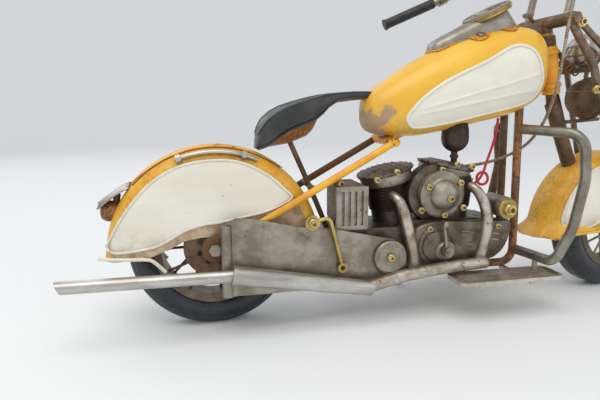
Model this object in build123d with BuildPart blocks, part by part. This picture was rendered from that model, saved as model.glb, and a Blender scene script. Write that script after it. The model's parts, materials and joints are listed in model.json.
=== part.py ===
"""Hand-built sheet-metal display motorcycle, a V-twin cruiser, as separate joined pieces.

Working frame while modelling: X forward from the rear axle, Y to the rider's left, Z up from
the floor.  Each finished piece is moved so that the row's origin is on the floor under the
middle of the whole machine.  The front end is drawn straight ahead and then turned to the
angle at which the model stands.
"""

import math
import os

from build123d import *

os.makedirs("parts", exist_ok=True)

# Whole machine
ORIGIN_X = 139.194
ORIGIN_Y = -9.697
REAR_RADIUS = 55.0
FRONT_RADIUS = 50.0
FRONT_AXLE_X = 316.0
FRONT_AXLE_Z = FRONT_RADIUS + 0.17  # the turned, raked fork lets its wheel down by as much

# Steering
HEAD_X, HEAD_Z = 249.0, 165.0
HEAD_RAKE = 10.0
REST_STEER = 8.0
STEM_RADIUS = 4.0
RUNNING_CLEARANCE = 0.06

# Wheels
TYRE_HALF_WIDTH = 11.5
TREAD_FLAT = 4.5
BEAD_DEPTH = 18.0
BEAD_HALF_WIDTH = 8.0
RIM_THICKNESS = 2.6
FLANGE_HEIGHT = 2.2
FLANGE_THICKNESS = 1.3
HUB_RADIUS = 6.0
HUB_HALF_LENGTH = 15.0
SPOKE_RADIUS = 0.9
SPOKE_COUNT = 16
REAR_AXLE_RADIUS = 2.5
FRONT_AXLE_RADIUS = 2.2
AXLE_NUT_ACROSS, AXLE_NUT_HEIGHT = 8.4, 3.2
LUG_INNER, LUG_OUTER = 17.0, 20.0

# Mudguards
SHEET = 1.2
GUARD_HALF_WIDTH = 15.5
VALANCE_INSET = 11.0  # the flat side plates end this far inside the crown
REAR_GUARD_X, REAR_GUARD_Z, REAR_GUARD_RADIUS = 2.0, 50.0, 71.5
REAR_GUARD_START, REAR_GUARD_SWEEP = -91.0, 175.0
FRONT_GUARD_X, FRONT_GUARD_Z, FRONT_GUARD_RADIUS = 304.0, 49.0, 60.0
FRONT_GUARD_START, FRONT_GUARD_SWEEP = -92.0, 72.0
GRAB_RAIL_ARC, GRAB_RAIL_Y = 67.4, 15.4

# Inlays and tank
INLAY_HEIGHT, BEAD_HEIGHT, BEAD_WIDTH = 0.25, 0.55, 1.5
TANK_INLAY_HEIGHT = 0.6
TANK_WALL = 1.6
TANK_CORNER, SADDLE_CORNER = 0.72, 0.7

# Frame
RAIL_Y = 9.0
RAIL_RADIUS = 2.9
STAY_Y = 18.5
STAY_RADIUS = 2.4
CRASH_BAR_RADIUS = 3.5
CRASH_BAR_Y = 50.0
GIRDER_Y = 20.0
BOARD_X, BOARD_Y, BOARD_Z = 197.0, 38.0, 27.0
BOARD_LENGTH, BOARD_WIDTH, BOARD_THICKNESS = 78.0, 24.0, 1.6

# Engine
CASE_RIGHT, CASE_LEFT = -17.0, 22.0
CASE_TOP = 66.0
REAR_LEAN, FRONT_LEAN = -13.0, 15.0
BARREL_RADIUS = 11.4
COVER_FACE = -24.0

# Right side equipment
GUARD_PLATE_FACE = -25.0
GUARD_PLATE_THICKNESS = 1.5
SILENCER_Y = -33.7
COLLECTOR_Y = -30.8
KICK_X, KICK_Z = 62.2, 71.2
SHIFT_X, SHIFT_Z = 157.6, 45.5
CAP_X, CAP_Z = 116.8, 43.8

# Side stand
STAND_X, STAND_Z = 150.0, 27.0
STAND_PIN_RADIUS = 2.0
STAND_PIN_END = 20.2
STAND_FOOT_X, STAND_FOOT_Y = 146.0, 42.0

# Handlebar
BAR_RADIUS = 3.2
GRIP_RADIUS = 3.95
GRIP_LENGTH = 42.0
PERCH_DISTANCE = 50.0
LEVER_OFFSET = 9.5
LEVER_PIN_RADIUS = 1.0

# Cords
LEAD_RADIUS = 0.9
CABLE_RADIUS = 1.1

RAKE = math.radians(HEAD_RAKE)
STEER_AXIS = Axis((HEAD_X, 0, HEAD_Z), (-math.sin(RAKE), 0, math.cos(RAKE)))
SIDES = (("left", 1), ("right", -1))


def finish(part, label, steered=False):
    """Turns a steered piece to the rest angle, moves it to the row's frame and writes it."""
    if steered:
        part = part.rotate(STEER_AXIS, REST_STEER)
    part = part.moved(Location((-ORIGIN_X, -ORIGIN_Y, 0)))
    part.label = label
    export_step(part, f"parts/{label}.step")
    return part


def side_plane(y=0.0):
    """A plane facing the machine's right side, whose own x and y are forward and up."""
    return Plane(origin=(0, y, 0), x_dir=(1, 0, 0), z_dir=(0, -1, 0))


def head_point(along):
    """A point on the steering axis, measured upwards from the middle of the head."""
    return (HEAD_X - along * math.sin(RAKE), 0, HEAD_Z + along * math.cos(RAKE))


def head_plane(along):
    return Plane(origin=head_point(along), x_dir=(0, 1, 0), z_dir=STEER_AXIS.direction)


def lateral(x, z, y_low, y_high, radius, mode=Mode.ADD):
    """A round bar that lies across the machine, added to the open part."""
    with Locations(Location((x, (y_low + y_high) / 2, z), (90, 0, 0))):
        Cylinder(radius, y_high - y_low, mode=mode)


def rod(start, end, radius, mode=Mode.ADD):
    """A straight round bar between two points, added to the open part."""
    direction = Vector(*end) - Vector(*start)
    with Locations(Plane(origin=start, z_dir=direction)):
        Cylinder(radius, direction.length, align=(Align.CENTER, Align.CENTER, Align.MIN), mode=mode)


def tube(points, radius, bends=None):
    """A bar swept along straight runs that are joined by tangent arcs."""
    with BuildPart() as swept:
        with BuildLine() as route:
            if len(points) == 2:
                Line(*points)
            else:
                FilletPolyline(*points, radius=bends)
        path = route.wires()[0]
        with BuildSketch(Plane(origin=path @ 0, z_dir=path % 0)):
            Circle(radius)
        sweep(path=path)
    return swept.part


def hexagon_nut(x, z, y_face, height, across_corners, outward=-1):
    """A hexagonal prism that stands on a lateral face."""
    plane = Plane(origin=(x, y_face, z), x_dir=(1, 0, 0), z_dir=(0, outward, 0))
    with BuildPart() as nut:
        with BuildSketch(plane):
            RegularPolygon(across_corners / 2, 6)
        extrude(amount=height)
    return nut.part


def on_axle(part, x, z):
    """Turns a piece drawn about Z so that it runs about a lateral axle."""
    return part.moved(Location((x, 0, z), (90, 0, 0)))


# ---------------------------------------------------------------- wheels


def make_tyre(radius):
    bead = radius - BEAD_DEPTH
    with BuildPart() as tyre:
        with BuildSketch(Plane.XZ):
            with BuildLine():
                Polyline(
                    (bead, 0),
                    (bead, BEAD_HALF_WIDTH),
                    (bead + FLANGE_HEIGHT + 0.3, BEAD_HALF_WIDTH),
                    (bead + FLANGE_HEIGHT + 0.6, BEAD_HALF_WIDTH + 1.6),
                )
                ThreePointArc(
                    (bead + FLANGE_HEIGHT + 0.6, BEAD_HALF_WIDTH + 1.6),
                    (radius - 9, TYRE_HALF_WIDTH),
                    (radius - 2.6, 8.4),
                )
                ThreePointArc((radius - 2.6, 8.4), (radius - 0.7, 6.6), (radius, TREAD_FLAT))
                Line((radius, TREAD_FLAT), (radius, 0))
                mirror(about=Plane.XZ)
            make_face()
        revolve(axis=Axis.Z)
    return tyre.part


def make_rim(radius):
    bead = radius - BEAD_DEPTH
    width = 2 * (BEAD_HALF_WIDTH + 0.05 + FLANGE_THICKNESS)
    with BuildPart() as rim:
        with BuildSketch(Plane.XZ):
            with Locations((bead - RIM_THICKNESS / 2, 0)):
                Rectangle(RIM_THICKNESS, width)
            with Locations(
                (bead + FLANGE_HEIGHT / 2 - 0.2, width / 2 - FLANGE_THICKNESS / 2),
                (bead + FLANGE_HEIGHT / 2 - 0.2, FLANGE_THICKNESS / 2 - width / 2),
            ):
                Rectangle(FLANGE_HEIGHT + 0.4, FLANGE_THICKNESS)
        revolve(axis=Axis.Z)
    return rim.part


def make_spider(radius, axle_radius, disc_radius):
    """Hub, laced spokes and, where it has one, the drilled disc on the right side."""
    rim_inside = radius - BEAD_DEPTH - RIM_THICKNESS
    reach = math.sqrt(rim_inside**2 - 16) + 0.3
    with BuildPart() as spider:
        Cylinder(HUB_RADIUS, 2 * HUB_HALF_LENGTH)
        with Locations((0, 0, 8), (0, 0, -8)):
            Cylinder(HUB_RADIUS + 3, 1.6)
        if disc_radius:
            with Locations((0, 0, 12.7)):
                Cylinder(disc_radius, 1.4)
            with Locations((0, 0, 12.7)), PolarLocations(disc_radius * 0.7, 6):
                Cylinder(1.8, 1.5, mode=Mode.SUBTRACT)
        for number in range(SPOKE_COUNT):
            turn = math.radians(360 * number / SPOKE_COUNT)
            lean = 4 if number % 4 < 2 else -4
            level = 7.6 if number % 2 else -7.6
            along = Vector(math.cos(turn), math.sin(turn), 0)
            across = Vector(-math.sin(turn), math.cos(turn), 0)
            start = along * 4 + across * lean + Vector(0, 0, level)
            end = along * reach + across * lean + Vector(0, 0, level * 0.55)
            rod(tuple(start), tuple(end), SPOKE_RADIUS)
        Cylinder(axle_radius + RUNNING_CLEARANCE, 4 * HUB_HALF_LENGTH, mode=Mode.SUBTRACT)
    return spider.part


def make_wheel(name, x, z, radius, axle_radius, disc_radius, steered):
    finish(on_axle(make_tyre(radius), x, z), f"{name}_tyre", steered)
    finish(on_axle(make_rim(radius), x, z), f"{name}_rim", steered)
    spider = make_spider(radius, axle_radius, disc_radius)
    finish(on_axle(spider, x, z), f"{name}_spoked_hub", steered)


def make_axle(x, z, radius, right_end):
    with BuildPart() as axle:
        lateral(x, z, right_end, 23.0, radius)
        right_height = -right_end - LUG_OUTER - 0.05
        add(hexagon_nut(x, z, -LUG_OUTER - 0.05, right_height, AXLE_NUT_ACROSS))
        add(hexagon_nut(x, z, LUG_OUTER + 0.05, AXLE_NUT_HEIGHT, AXLE_NUT_ACROSS, outward=1))
    return axle.part


make_wheel("rear", 0, REAR_RADIUS, REAR_RADIUS, REAR_AXLE_RADIUS, 14.0, False)
make_wheel("front", FRONT_AXLE_X, FRONT_AXLE_Z, FRONT_RADIUS, FRONT_AXLE_RADIUS, 0, True)
finish(make_axle(0, REAR_RADIUS, REAR_AXLE_RADIUS, -22.9), "rear_axle")
front_axle = make_axle(FRONT_AXLE_X, FRONT_AXLE_Z, FRONT_AXLE_RADIUS, -23.2)
finish(front_axle, "front_axle", steered=True)


# ---------------------------------------------------------------- mudguards


def guard_section_plane(x, z, angle):
    """A plane across a mudguard; its own y points outwards at the angle from upright."""
    turn = math.radians(angle)
    return Plane(
        origin=(x, 0, z), x_dir=(0, 1, 0), z_dir=(math.cos(turn), 0, -math.sin(turn))
    )


def guard_section(x, z, angle, radius):
    """The pressed section, drawn across a mudguard at an angle from upright."""
    outer = [
        (0, radius),
        (5, radius - 0.3),
        (11, radius - 3.2),
        (GUARD_HALF_WIDTH, radius - 9),
        (GUARD_HALF_WIDTH, radius - 12),
    ]
    inner = [
        (GUARD_HALF_WIDTH - SHEET, radius - 12),
        (GUARD_HALF_WIDTH - SHEET, radius - 9.4),
        (10.2, radius - 4.3),
        (4.8, radius - 1.5),
        (0, radius - SHEET),
    ]
    with BuildSketch(guard_section_plane(x, z, angle)) as section:
        with BuildLine():
            Polyline(*outer, *inner, close=True)
        make_face()
        mirror(about=Plane.YZ)
    return section.sketch


def guard_axis(x, z):
    return Axis((x, 0, z), (0, 1, 0))


def valance(outline, radius_pairs):
    """Flat side plates, trimmed to what lies inside the mudguard's round edge."""
    with BuildPart() as plates:
        for y in (GUARD_HALF_WIDTH, -GUARD_HALF_WIDTH + SHEET):
            with BuildSketch(side_plane(y)):
                with BuildLine():
                    Polyline(*outline, close=True)
                make_face()
                with BuildSketch(side_plane(y), mode=Mode.INTERSECT):
                    for (x, z), radius in radius_pairs:
                        with Locations((x, z)):
                            Circle(radius)
            extrude(amount=SHEET)
    return plates.part


rear_valance = valance(
    [
        (-71, 49), (-41, 49), (-33, 54), (-20, 61), (-8, 63), (20, 63), (55, 61), (73, 56),
        (73, 80), (40, 118), (0, 125), (-50, 115), (-75, 75),
    ],
    [((REAR_GUARD_X, REAR_GUARD_Z), REAR_GUARD_RADIUS - VALANCE_INSET)],
)
with BuildPart() as rear_mudguard:
    section = guard_section(REAR_GUARD_X, REAR_GUARD_Z, REAR_GUARD_START, REAR_GUARD_RADIUS)
    turning = guard_axis(REAR_GUARD_X, REAR_GUARD_Z)
    revolve(section, axis=turning, revolution_arc=REAR_GUARD_SWEEP)
    add(rear_valance)
finish(rear_mudguard.part, "rear_fender")

GUARD_STRAIGHT = FRONT_AXLE_X - FRONT_GUARD_X
front_valance = valance(
    [
        (240, 60), (247, 49), (276, 44), (297, 42), (305, 46), (308, 56), (316, 60.5),
        (324, 56), (330, 52), (352, 60), (364, 78), (360, 100), (320, 112), (280, 108),
    ],
    [
        ((FRONT_GUARD_X, FRONT_GUARD_Z), FRONT_GUARD_RADIUS - VALANCE_INSET),
        ((FRONT_AXLE_X, FRONT_GUARD_Z), FRONT_GUARD_RADIUS - VALANCE_INSET),
    ],
)
with BuildPart() as front_mudguard:
    section = guard_section(FRONT_GUARD_X, FRONT_GUARD_Z, FRONT_GUARD_START, FRONT_GUARD_RADIUS)
    turning = guard_axis(FRONT_GUARD_X, FRONT_GUARD_Z)
    revolve(section, axis=turning, revolution_arc=-FRONT_GUARD_START)
    section = guard_section(FRONT_GUARD_X, FRONT_GUARD_Z, 0, FRONT_GUARD_RADIUS)
    extrude(section, amount=GUARD_STRAIGHT)
    section = guard_section(FRONT_AXLE_X, FRONT_GUARD_Z, 0, FRONT_GUARD_RADIUS)
    turning = guard_axis(FRONT_AXLE_X, FRONT_GUARD_Z)
    revolve(section, axis=turning, revolution_arc=FRONT_GUARD_SWEEP)
    add(front_valance)
finish(front_mudguard.part, "front_fender", steered=True)


def fender_panels(outline, bends, label, steered):
    """The cream inlays on both side plates of a mudguard, each with its raised bead."""
    with BuildPart() as panels:
        for side in (1, -1):
            face = side_plane(side * GUARD_HALF_WIDTH)
            with BuildSketch(face):
                with BuildLine():
                    FilletPolyline(*outline, radius=bends, close=True)
                make_face()
            extrude(amount=-side * INLAY_HEIGHT)
            with BuildSketch(face):
                with BuildLine():
                    FilletPolyline(*outline, radius=bends, close=True)
                make_face()
                offset(amount=-BEAD_WIDTH, mode=Mode.SUBTRACT)
            extrude(amount=-side * BEAD_HEIGHT)
    finish(panels.part, label, steered)


fender_panels(
    [
        (-65.3, 56.5), (-61, 70), (-50, 86.5), (-36, 100.5), (-14, 111), (3, 112.4), (20, 110),
        (40, 97.5), (52, 84), (40, 74.5), (5.5, 72.2), (-7, 71.3), (-20, 67.6), (-33, 59.6),
        (-44, 56.8),
    ],
    5.0,
    "rear_fender_panels",
    False,
)
fender_panels(
    [
        (252, 56), (259, 76), (275, 94), (295, 103.5), (316, 106), (337, 102), (355, 89),
        (360, 76), (345, 66), (316, 70), (300, 60), (278, 53),
    ],
    5.0,
    "front_fender_panels",
    True,
)

with BuildPart() as rail:
    arc_centre = (REAR_GUARD_X, REAR_GUARD_Z)
    for side in (1, -1):
        with BuildLine(side_plane(side * GRAB_RAIL_Y)) as route:
            CenterArc(arc_centre, GRAB_RAIL_ARC, 66, 43)
        path = route.wires()[0]
        with BuildSketch(Plane(origin=path @ 0, z_dir=path % 0)):
            Circle(1.4)
        sweep(path=path)
        for angle in (66.5, 87.5, 108.5):
            turn = math.radians(angle)
            foot_x = REAR_GUARD_X + GRAB_RAIL_ARC * math.cos(turn)
            foot_z = REAR_GUARD_Z + GRAB_RAIL_ARC * math.sin(turn)
            top_x = REAR_GUARD_X + 72.2 * math.cos(turn)
            top_z = REAR_GUARD_Z + 72.2 * math.sin(turn)
            rod((foot_x, side * GRAB_RAIL_Y, foot_z), (top_x, side * 6, top_z), 1.0)
    with BuildSketch(guard_section_plane(REAR_GUARD_X, REAR_GUARD_Z, -20)):
        with Locations((0, 72.3)):
            Rectangle(13, 1.2)
    revolve(axis=guard_axis(REAR_GUARD_X, REAR_GUARD_Z), revolution_arc=45)
    add(rear_mudguard.part, mode=Mode.SUBTRACT)
finish(rail.part, "fender_rail")

with BuildPart() as lamp:
    rod((-52, 0, 85.8), (-71.5, 0, 82.5), 5.6)
    rod((-65, 0, 84), (-64, 0, 93), 3.0)
    with BuildSketch(side_plane()):
        with BuildLine():
            Polyline((-53, 99.5), (-63, 95.5), (-76, 88), (-75.4, 86.8), (-60, 91), close=True)
        make_face()
    extrude(amount=9, both=True)
    lateral(REAR_GUARD_X, REAR_GUARD_Z, -20, 20, REAR_GUARD_RADIUS, mode=Mode.SUBTRACT)
finish(lamp.part, "tail_lamp")


# ---------------------------------------------------------------- frame

with BuildPart() as spine:
    rod(head_point(-12.5), head_point(21.5), 6.3)
    for along in (-8.0, 16.0):
        rod(head_point(along), head_point(along + 3), 7.3)
    rod((243, 0, 178), (121, 0, 121), 3.5)
    lateral(121, 121, -STAY_Y - 2.4, STAY_Y + 2.4, 3.0)
    with BuildSketch(side_plane()):
        with BuildLine():
            Polyline((248, 156), (246, 172), (212, 163.5), (215, 153), close=True)
        make_face()
    extrude(amount=2, both=True)
    lateral(219, 156, -RAIL_Y - 3.5, RAIL_Y + 3.5, 3.6)
    bore = STEM_RADIUS + RUNNING_CLEARANCE
    rod(head_point(-25), head_point(35), bore, mode=Mode.SUBTRACT)
finish(spine.part, "frame_spine")

for name, side in SIDES:
    downtube = tube(
        [
            (219, side * RAIL_Y, 156), (222, side * RAIL_Y, 28.5), (96, side * RAIL_Y, 27.5),
            (62, side * STAY_Y, 30), (7, side * STAY_Y, 50.4),
        ],
        RAIL_RADIUS,
        [10, 40, 30],
    )
    if side == 1:
        with BuildPart() as pinned:
            add(downtube)
            lateral(STAND_X, STAND_Z, RAIL_Y, STAND_PIN_END, STAND_PIN_RADIUS)
            lateral(STAND_X, STAND_Z, STAND_PIN_END - 1.2, STAND_PIN_END, 3.2)
        downtube = pinned.part
    finish(downtube, f"downtube_{name}")

    bar = tube(
        [
            (219, side * RAIL_Y, 128), (241, side * CRASH_BAR_Y, 126),
            (244.5, side * CRASH_BAR_Y, 96), (238, side * CRASH_BAR_Y, 62),
            (228, side * 47, 38.5), (222, side * RAIL_Y, 38.5),
        ],
        CRASH_BAR_RADIUS,
        [12, 40, 40, 8],
    )
    finish(bar, f"crash_bar_{name}")

with BuildPart() as stays:
    for side in (1, -1):
        rod((121, side * STAY_Y, 121), (6.5, side * STAY_Y, 57.6), STAY_RADIUS)
        lateral(0, REAR_RADIUS, side * STAY_Y - 1.5, side * STAY_Y + 1.5, 8.5)
    bore = REAR_AXLE_RADIUS + 0.05
    lateral(0, REAR_RADIUS, -STAY_Y - 4, STAY_Y + 4, bore, mode=Mode.SUBTRACT)
finish(stays.part, "rear_stays")

with BuildPart() as boards:
    for side in (1, -1):
        middle = (BOARD_X, side * BOARD_Y)
        with BuildSketch(Plane.XY.offset(BOARD_Z)):
            with Locations(middle):
                RectangleRounded(BOARD_LENGTH, BOARD_WIDTH, 5)
        extrude(amount=BOARD_THICKNESS)
        with BuildSketch(Plane.XY.offset(BOARD_Z + BOARD_THICKNESS)):
            with Locations(middle):
                RectangleRounded(BOARD_LENGTH, BOARD_WIDTH, 5)
                RectangleRounded(BOARD_LENGTH - 4, BOARD_WIDTH - 4, 4, mode=Mode.SUBTRACT)
            with Locations(middle), GridLocations(0, 3.6, 1, 5):
                Rectangle(BOARD_LENGTH - 12, 1.4)
        extrude(amount=0.9)
        for x in (175, 213):
            rod((x, side * RAIL_Y, 25.2), (x, side * 47, 25.6), 1.8)
        rod((224.5, side * 32, 27.5), (224.5, side * 32, 37), 1.8)
finish(boards.part, "footboards")

with BuildPart() as post:
    rod((52, 0, 124), (66.5, 0, 91), 1.8)
    rod((66.5, 0, 91), (79, 0, 61), 1.8)
    with Locations((66.5, 0, 91)):
        Sphere(1.8)
    lateral(66.5, 91, -STAY_Y, STAY_Y, 1.8)
finish(post.part, "seat_post")


# ---------------------------------------------------------------- saddle and tank


def skin(sections, squareness, widen=0.0):
    """A closed body through upright rounded sections of (x, half width, low, high)."""
    with BuildPart() as body:
        for x, half_width, low, high in sections:
            width = half_width + widen
            corner = squareness * min(width, (high - low) / 2)
            with BuildSketch(Plane.YZ.offset(x)):
                with Locations((0, (low + high) / 2)):
                    RectangleRounded(2 * width, high - low + 2 * widen, corner)
        loft()
    return body.part


SADDLE_LINE = [
    (28.5, 17, 120.5, 130.5), (34, 22, 122, 137), (45, 25, 127, 142.5), (57, 24, 133, 147.5),
    (70, 17.5, 143, 152), (82, 11, 149, 154.5), (97, 7.5, 150.8, 155), (113, 6, 151, 154.2),
]
PAN_LINE = [
    (33, 17, 118.6, 121.2), (45, 20.5, 121, 126.3), (57, 19.5, 127, 132.3),
    (70, 13.5, 138.5, 142.6), (84, 8, 146.4, 148.6),
]
with BuildPart() as pan:
    add(skin(PAN_LINE, SADDLE_CORNER))
    rod((52, 0, 124), (46, 0, 137.6), 2.6)
    add(skin(SADDLE_LINE, SADDLE_CORNER), mode=Mode.SUBTRACT)
finish(pan.part, "seat_pan")

TANK_LINE = [
    (97, 7, 134, 146), (104, 12, 130, 150), (118, 17.5, 125, 157.5), (140, 22.5, 123.3, 174),
    (165, 25, 128, 186), (190, 26, 133, 195.5), (213, 25, 138.5, 199), (228, 21.5, 146, 196.3),
    (237, 14, 156, 187),
]
with BuildPart() as saddle:
    add(skin(SADDLE_LINE, SADDLE_CORNER))
    add(skin(TANK_LINE, TANK_CORNER, 0.3), mode=Mode.SUBTRACT)
finish(saddle.part, "seat_cushion")


def tunnel(wall):
    """The channel over the backbone and the notch for the frame's neck, grown by a wall."""
    with BuildPart() as channel:
        with BuildSketch(side_plane()):
            with BuildLine():
                top = 121.6 + wall
                Polyline(
                    (90, 100), (90, top - 9.3), (110, top), (250, top + 65.4), (250, 100), close=True
                )
            make_face()
        extrude(amount=5.5 + wall, both=True)
        with BuildSketch(side_plane()):
            with BuildLine():
                left, top = 206 - wall, 161 + wall
                Polyline(
                    (left, 120), (left, top), (left + 7, top + 9), (250, top + 9), (250, 120), close=True
                )
            make_face()
        extrude(amount=13.5 + wall, both=True)
    return channel.part


with BuildPart() as hollow:
    add(skin(TANK_LINE[1:-1], TANK_CORNER, -TANK_WALL))
    add(tunnel(TANK_WALL), mode=Mode.SUBTRACT)
with BuildPart() as tank:
    add(skin(TANK_LINE, TANK_CORNER))
    add(tunnel(0), mode=Mode.SUBTRACT)
    add(hollow.part, mode=Mode.SUBTRACT)
finish(tank.part, "fuel_tank")

INLAY = [
    (129.4, 139), (131, 131.6), (140, 130.4), (183, 139), (213, 145.2), (225, 151), (226.5, 164),
    (219.5, 180), (204.5, 184.6), (180.8, 173), (156.4, 162), (139, 151),
]


def tank_side(side):
    """The stretch of tank under one cream panel."""
    with BuildPart() as stretch:
        with BuildSketch(side_plane()):
            with BuildLine():
                FilletPolyline(*INLAY, radius=4.5, close=True)
            make_face()
        extrude(amount=-40 * side)
        add(skin(TANK_LINE, TANK_CORNER), mode=Mode.INTERSECT)
    return stretch.part


with BuildPart() as inlays:
    for side in (1, -1):
        under = tank_side(side)
        add(under.moved(Location((0, side * TANK_INLAY_HEIGHT, 0))) - under)
finish(inlays.part, "tank_panels")

DIAL_TILT = 25.8
DIAL_RADIUS = 16.5
DIAL_X, DIAL_Z = 193.5, 209.6
dial_normal = (-math.sin(math.radians(DIAL_TILT)), 0, math.cos(math.radians(DIAL_TILT)))
dial_plane = Plane(origin=(DIAL_X, 0, DIAL_Z), x_dir=(0, 1, 0), z_dir=dial_normal)
with BuildPart() as console:
    with BuildSketch(side_plane()):
        with BuildLine():
            Polyline(
                (154, 178), (154, 184), (175, 197.5), (211, 214.5), (222, 199), (222, 192), close=True
            )
        make_face()
    extrude(amount=12, both=True)
    add(skin(TANK_LINE, TANK_CORNER), mode=Mode.SUBTRACT)
    with BuildSketch(dial_plane.offset(-4.5)):
        Circle(60)
    extrude(amount=40, mode=Mode.SUBTRACT)
finish(console.part, "dash_console")

with BuildPart() as dial:
    with BuildSketch(dial_plane.offset(-4.45)):
        Circle(DIAL_RADIUS)
    extrude(amount=4.45)
    with BuildSketch(dial_plane):
        Circle(DIAL_RADIUS - 2.2)
    extrude(amount=-1.2, mode=Mode.SUBTRACT)
    fillet(dial.edges().filter_by(GeomType.CIRCLE).sort_by(SortBy.RADIUS)[-1], 0.8)
finish(dial.part, "speedometer")


# ---------------------------------------------------------------- engine


def fastener(x, z, y_seat, proud, across=5.0):
    """A hexagon nut on the right side with its screw end showing."""
    with BuildPart() as group:
        add(hexagon_nut(x, z, y_seat, proud * 0.65, across))
        lateral(x, z, y_seat - proud, y_seat, across * 0.25)
    return group.part


with BuildPart() as case:
    with BuildSketch(side_plane(CASE_RIGHT)):
        with BuildLine():
            FilletPolyline(
                (78, 34.2), (78, 62.3), (127, 62.3), (130, CASE_TOP), (184, CASE_TOP),
                (209, 62), (209, 46), (196, 36), (136, 34.2), radius=2, close=True,
            )
        make_face()
    extrude(amount=CASE_RIGHT - CASE_LEFT)
    for x in (100, 190):
        for side in (1, -1):
            with Locations((x, side * RAIL_Y, 32.5)):
                Box(10, 4, 10)
finish(case.part, "crankcase")

with BuildPart() as cover:
    with BuildSketch(side_plane(CASE_RIGHT - 0.02)):
        with BuildLine():
            FilletPolyline(
                (136, 34.5), (135.6, 61), (148, 65.8), (178, 64.5), (207.5, 64), (207, 52),
                (195.2, 40.5), radius=2.5, close=True,
            )
        make_face()
    extrude(amount=CASE_RIGHT - COVER_FACE)
    fillet(cover.faces().sort_by(Axis.Y)[0].edges(), 1.2)
    lateral(152.2, 49.2, COVER_FACE - 1.6, COVER_FACE, 11.3)
    lateral(SHIFT_X, SHIFT_Z, COVER_FACE - 3.6, COVER_FACE, 5.3)
    lateral(SHIFT_X, SHIFT_Z, COVER_FACE - 8.2, COVER_FACE, 2.0)
    lateral(SHIFT_X, SHIFT_Z, COVER_FACE - 8.2, COVER_FACE - 6.9, 3.4)
    for x, z in ((173, 57.5), (173, 47.5), (194, 51)):
        with Locations((x, COVER_FACE - 0.7, z)):
            Box(10, 1.5, 2.6)
finish(cover.part, "gearcase_cover")


def lean_plane(x, z, lean, along=0.0):
    """A plane across a cylinder that leans fore or aft, at a height along the bore."""
    turn = math.radians(lean)
    direction = Vector(math.sin(turn), 0, math.cos(turn))
    return Plane(origin=Vector(x, 0, z) + direction * along, x_dir=(0, 1, 0), z_dir=direction)


def make_barrel(x, z, lean, length, fins_from, plug, label):
    """A finned barrel that stands in the case and ends under its head, with its spark plug."""
    with BuildPart() as barrel:
        with BuildSketch(lean_plane(x, z, lean, -3)):
            Circle(BARREL_RADIUS)
        extrude(amount=length + 3)
        fins = int((length - fins_from) / 3)
        for number in range(fins):
            with BuildSketch(lean_plane(x, z, lean, fins_from + 3 * number)):
                Circle(14.4)
            extrude(amount=1.3)
        rod(*plug, 2.0)
    finish(barrel.part, label)


def make_head(x, z, lean, start, height, radius, bolts, label):
    """A round cylinder head with a thick rim, ribs and its black bolts."""
    with BuildPart() as head:
        with BuildSketch(lean_plane(x, z, lean, start + 0.02)):
            Circle(radius)
        extrude(amount=height * 0.62)
        with BuildSketch(lean_plane(x, z, lean, start + height * 0.62)):
            Circle(radius - 2.4)
        extrude(amount=height * 0.38)
        with BuildSketch(lean_plane(x, z, lean, start + 0.02)):
            with PolarLocations(radius, bolts):
                Circle(1.1)
        extrude(amount=height * 0.62)
        for number in range(6):
            with BuildSketch(lean_plane(x, z, lean, start + height)):
                across = (number - 2.5) * 4.2
                with Locations((across, 0)):
                    Rectangle(1.4, 2 * math.sqrt((radius - 4) ** 2 - across**2))
            extrude(amount=1.6)
    finish(head.part, label)


rear_plug = ((121, 8, 86), (112, 17, 88))
front_plug = ((163, -7.5, 86.5), (176.9, -12.55, 85.95))
make_barrel(128, 66, REAR_LEAN, 28.7, 10.5, rear_plug, "rear_cylinder")
make_head(128, 66, REAR_LEAN, 28.7, 8.5, 18.5, 24, "rear_head")
make_barrel(152, 66, FRONT_LEAN, 35.0, 17, front_plug, "front_cylinder")
make_head(152, 66, FRONT_LEAN, 35.0, 8.0, 20.0, 28, "front_head")

with BuildPart() as cleaner:
    lateral(154.4, 84.6, -21.5, -14.6, 14.9)
    fillet(cleaner.faces().sort_by(Axis.Y)[0].edges(), 2.4)
    lateral(157, 84.5, -24.6, -21.5, 8.0)
    fillet(cleaner.faces().sort_by(Axis.Y)[0].edges(), 2.0)
    lateral(155.8, 84.5, -15, -10, 4)
finish(cleaner.part, "air_cleaner")

with BuildPart() as bowl:
    with Locations((170.5, -8, 118.5)):
        Sphere(9)
    with Locations((170.5, -8, 127)):
        Box(30, 30, 6, align=(Align.CENTER, Align.CENTER, Align.MIN), mode=Mode.SUBTRACT)
    rod((170.5, -8, 127), (170.5, -8, 133), 2.2)
    rod((170.5, -8, 104), (170.5, -8, 112), 2.6)
    add(skin(TANK_LINE, TANK_CORNER), mode=Mode.SUBTRACT)
finish(bowl.part, "fuel_bowl")

with BuildPart() as dynamo:
    rod((206, -28, 73.6), (206, -5, 75.6), 7.4)
    rod((206, -30.4, 73.4), (206, -28, 73.6), 5.6)
    add(hexagon_nut(206, 73.4, -30.4, 2.0, 7.0))
    with Locations((203, -14, 65.5)):
        Box(9, 8, 6)
    add(case.part, mode=Mode.SUBTRACT)
finish(dynamo.part, "generator")

with BuildPart() as box:
    with Locations((92, -2.5, 77.6)):
        Box(18, 33, 29.4)
    fillet(box.edges().filter_by(Axis.Y).sort_by(Axis.X)[0:2], 5)
    rod((83.6, -8, 91), (83.6, -8, 95), 1.6)
finish(box.part, "battery_box")

with BuildPart() as fins:
    with Locations((91, -20.5, 77.8)):
        Box(22, 2.9, 29)
    with Locations((91, -21.6, 77.8)), GridLocations(4.4, 1, 4, 1):
        Box(2, 2, 23, mode=Mode.SUBTRACT)
finish(fins.part, "battery_cover")


# ---------------------------------------------------------------- right side

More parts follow.
